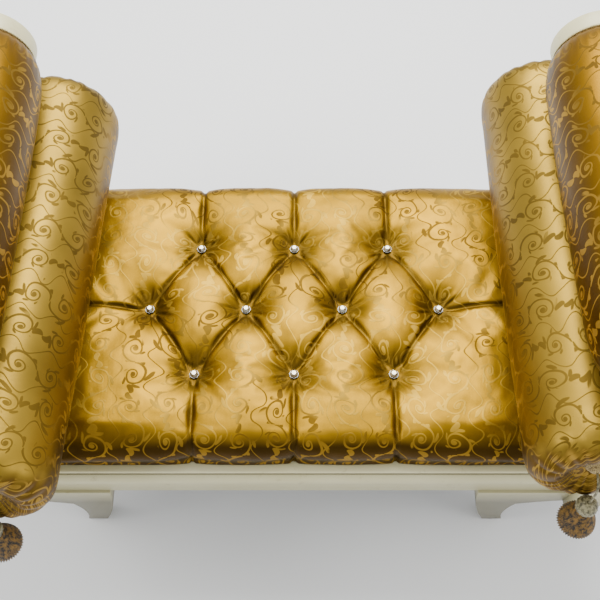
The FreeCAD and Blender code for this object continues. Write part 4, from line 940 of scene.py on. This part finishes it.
tassel = dict(
    # the cord leaves the rosette, bends down past the knob and ends in the skirt: out and up at each point
    route=((0, 0), (0.013, 0), (0.0235, -0.014), (0.0235, -0.058), (0.0235, -0.088)),
    thick=0.002, strands=3, pitch=0.010, face=0.357, length=0.1031, neck=-0.058, out=0.0235,
    # radius and height of each ring, from the top down
    head=((0.0050, 0.0), (0.0105, -0.0015), (0.0145, -0.006), (0.0168, -0.013), (0.0170, -0.019),
          (0.0140, -0.025), (0.0112, -0.0268), (0.0128, -0.0285), (0.0122, -0.030)),
    skirt=((0.0118, -0.0302), (0.0140, -0.036), (0.0172, -0.043), (0.0208, -0.051), (0.0240, -0.059),
           (0.0268, -0.067), (0.0290, -0.075), (0.0305, -0.0835), (0.0260, -0.0862), (0.0180, -0.0855)),
    headSides=40, headPress=0.07, skirtSides=88, skirtPress=0.10, twist=5,  # twist in degrees a ring
)
rosette = dict(
    rings=((0.0170, 0.0), (0.0168, 0.002), (0.0158, 0.0045), (0.0140, 0.0062), (0.0122, 0.0066),
           (0.0112, 0.0085), (0.0090, 0.0112), (0.0062, 0.0128), (0.0035, 0.0136)),
    sides=48, press=0.07, twist=3, seat=0.343,
)


def turnedPiece(name, rings, sides, press, twist=0):
    # a disc drawn out ring by ring, then every second line of corners pressed in like wound thread
    bpy.ops.object.select_all(action="DESELECT")
    bpy.ops.mesh.primitive_circle_add(vertices=sides, radius=rings[0][0], fill_type="NGON",
                                      location=(0, 0, rings[0][1]))
    piece = bpy.context.active_object
    piece.name = name
    bpy.ops.object.transform_apply(location=True, rotation=True, scale=True)
    bpy.ops.object.mode_set(mode="EDIT")
    bpy.ops.mesh.select_all(action="SELECT")
    shape = bmesh.from_edit_mesh(piece.data)
    mark = shape.verts.layers.int.new("line")
    for index, corner in enumerate(sorted(shape.verts, key=lambda v: math.atan2(v.co.y, v.co.x))):
        corner[mark] = index % 2
    bmesh.update_edit_mesh(piece.data)
    for (before, start), (after, stop) in zip(rings, rings[1:]):
        bpy.ops.mesh.extrude_region_move(TRANSFORM_OT_translate={"value": (0, 0, stop - start)})
        bpy.ops.transform.resize(value=(after / before, after / before, 1), center_override=(0, 0, stop))
        if twist:
            bpy.ops.transform.rotate(value=math.radians(twist), orient_axis="Z", center_override=(0, 0, stop))
    bpy.ops.mesh.select_all(action="DESELECT")
    shape = bmesh.from_edit_mesh(piece.data)
    mark = shape.verts.layers.int["line"]
    for corner in shape.verts:
        corner.select = corner[mark] == 1
    shape.select_flush_mode()
    bmesh.update_edit_mesh(piece.data)
    bpy.ops.transform.resize(value=(1 - press, 1 - press, 1), center_override=(0, 0, 0))
    bpy.ops.mesh.select_all(action="SELECT")
    bpy.ops.mesh.normals_make_consistent(inside=False)
    bpy.ops.object.mode_set(mode="OBJECT")
    bpy.ops.object.shade_smooth()
    return piece


def setDown(piece, place, up=Vector((0, 0, 1))):
    # moves a finished piece to its place and keeps that in its mesh
    pick(piece)
    piece.location = place
    piece.rotation_euler = up.to_track_quat("Z", "Y").to_euler()
    bpy.ops.object.transform_apply(location=True, rotation=True, scale=True)
    piece.select_set(False)


def cordRoute(start, out):
    # smooth way of a tassel cord, given to it by a spline that is then taken away
    route = bpy.data.curves.new("tassel_route", "CURVE")
    route.dimensions = "3D"
    spline = route.splines.new("NURBS")
    spline.points.add(len(tassel["route"]) - 1)
    for spot, (reach, height) in zip(spline.points, tassel["route"]):
        spot.co = (*(start + out * reach + Vector((0, 0, height))), 1)
    spline.order_u = 3
    spline.use_endpoint_u = True
    spline.resolution_u = 16
    holder = bpy.data.objects.new("tassel_route", route)
    scene.collection.objects.link(holder)
    bpy.context.view_layer.update()
    traced = bpy.data.meshes.new_from_object(holder)
    bpy.data.objects.remove(holder)
    return [v.co.copy() for v in traced.vertices]


for word in bolsters:
    centre, axis, across = lying(word)
    buttons = []
    for end, sign in (("front", -1), ("back", 1)):
        name = "{}_{}_tassel_".format(word, end)
        exitPoint = centre + axis * (sign * tassel["face"])
        line = cordRoute(exitPoint, axis * sign)
        cordPiece = twistedCord(name + "string", line, tassel["thick"], tassel["strands"], tassel["pitch"],
                                knobSilk)
        hang = exitPoint + axis * (sign * tassel["out"]) + Vector((0, 0, tassel["neck"]))
        head = turnedPiece(name + "knob", tassel["head"], tassel["headSides"], tassel["headPress"])
        skirt = turnedPiece(name + "fringe", tassel["skirt"], tassel["skirtSides"], tassel["skirtPress"],
                            tassel["twist"])
        setDown(head, hang)
        setDown(skirt, hang)
        parts = (head, knobSilk, "head"), (skirt, fringeSilk, "skirt"), (cordPiece, knobSilk, "cord")
        for piece, silk, part in parts:
            standFor(piece, silk, name + part, name + "body")
        button = turnedPiece("rosette", rosette["rings"], rosette["sides"], rosette["press"],
                             rosette["twist"])
        setDown(button, centre + axis * (sign * rosette["seat"]), axis * sign)
        buttons.append(button)
    piece = joined(word + "_bolster_rosette_pair", buttons)
    standFor(piece, braidSilk, word + "_bolster_rosettes", word + "_bolster_body")
print("tassels done")

studio = dict(
    floor=12, floorTones=("FEFEFC", "FAFAF8"), sky=(0.95, 0.97, 1.0, 1), skyStrength=0.85,
    # place, aim, size and watts; the first stands high behind, so that the satin shines to the front
    lamps=(((0.1, 1.5, 2.9), (0, 0, 0.4), 2.0, 150), ((-1.9, -0.4, 2.4), (0, 0, 0.4), 1.2, 34),
           ((2.0, -0.9, 1.8), (0, 0, 0.4), 1.2, 14)),
)
bpy.ops.mesh.primitive_plane_add(size=studio["floor"], location=(0, 0, 0))
floor = bpy.context.active_object
floor.name = "floor"
giveMaterial(floor, twoShades("paleFloor", *studio["floorTones"], {"Scale": 2, "Detail": 2}, (0, 0.001),
                              {"Roughness": 0.8}))

for index, (place, aim, size, watts) in enumerate(studio["lamps"]):
    light = bpy.data.lights.new("softbox{}".format(index), "AREA")
    light.size = size
    light.energy = watts
    lamp = bpy.data.objects.new("softbox{}".format(index), light)
    lamp.location = place
    lamp.rotation_euler = (Vector(aim) - Vector(place)).to_track_quat("-Z", "Y").to_euler()
    scene.collection.objects.link(lamp)
world = bpy.data.worlds.new("studio")
world.use_nodes = True
sky = world.node_tree.nodes["Background"]
sky.inputs["Color"].default_value = studio["sky"]
sky.inputs["Strength"].default_value = studio["skyStrength"]
scene.world = world
print("light done")
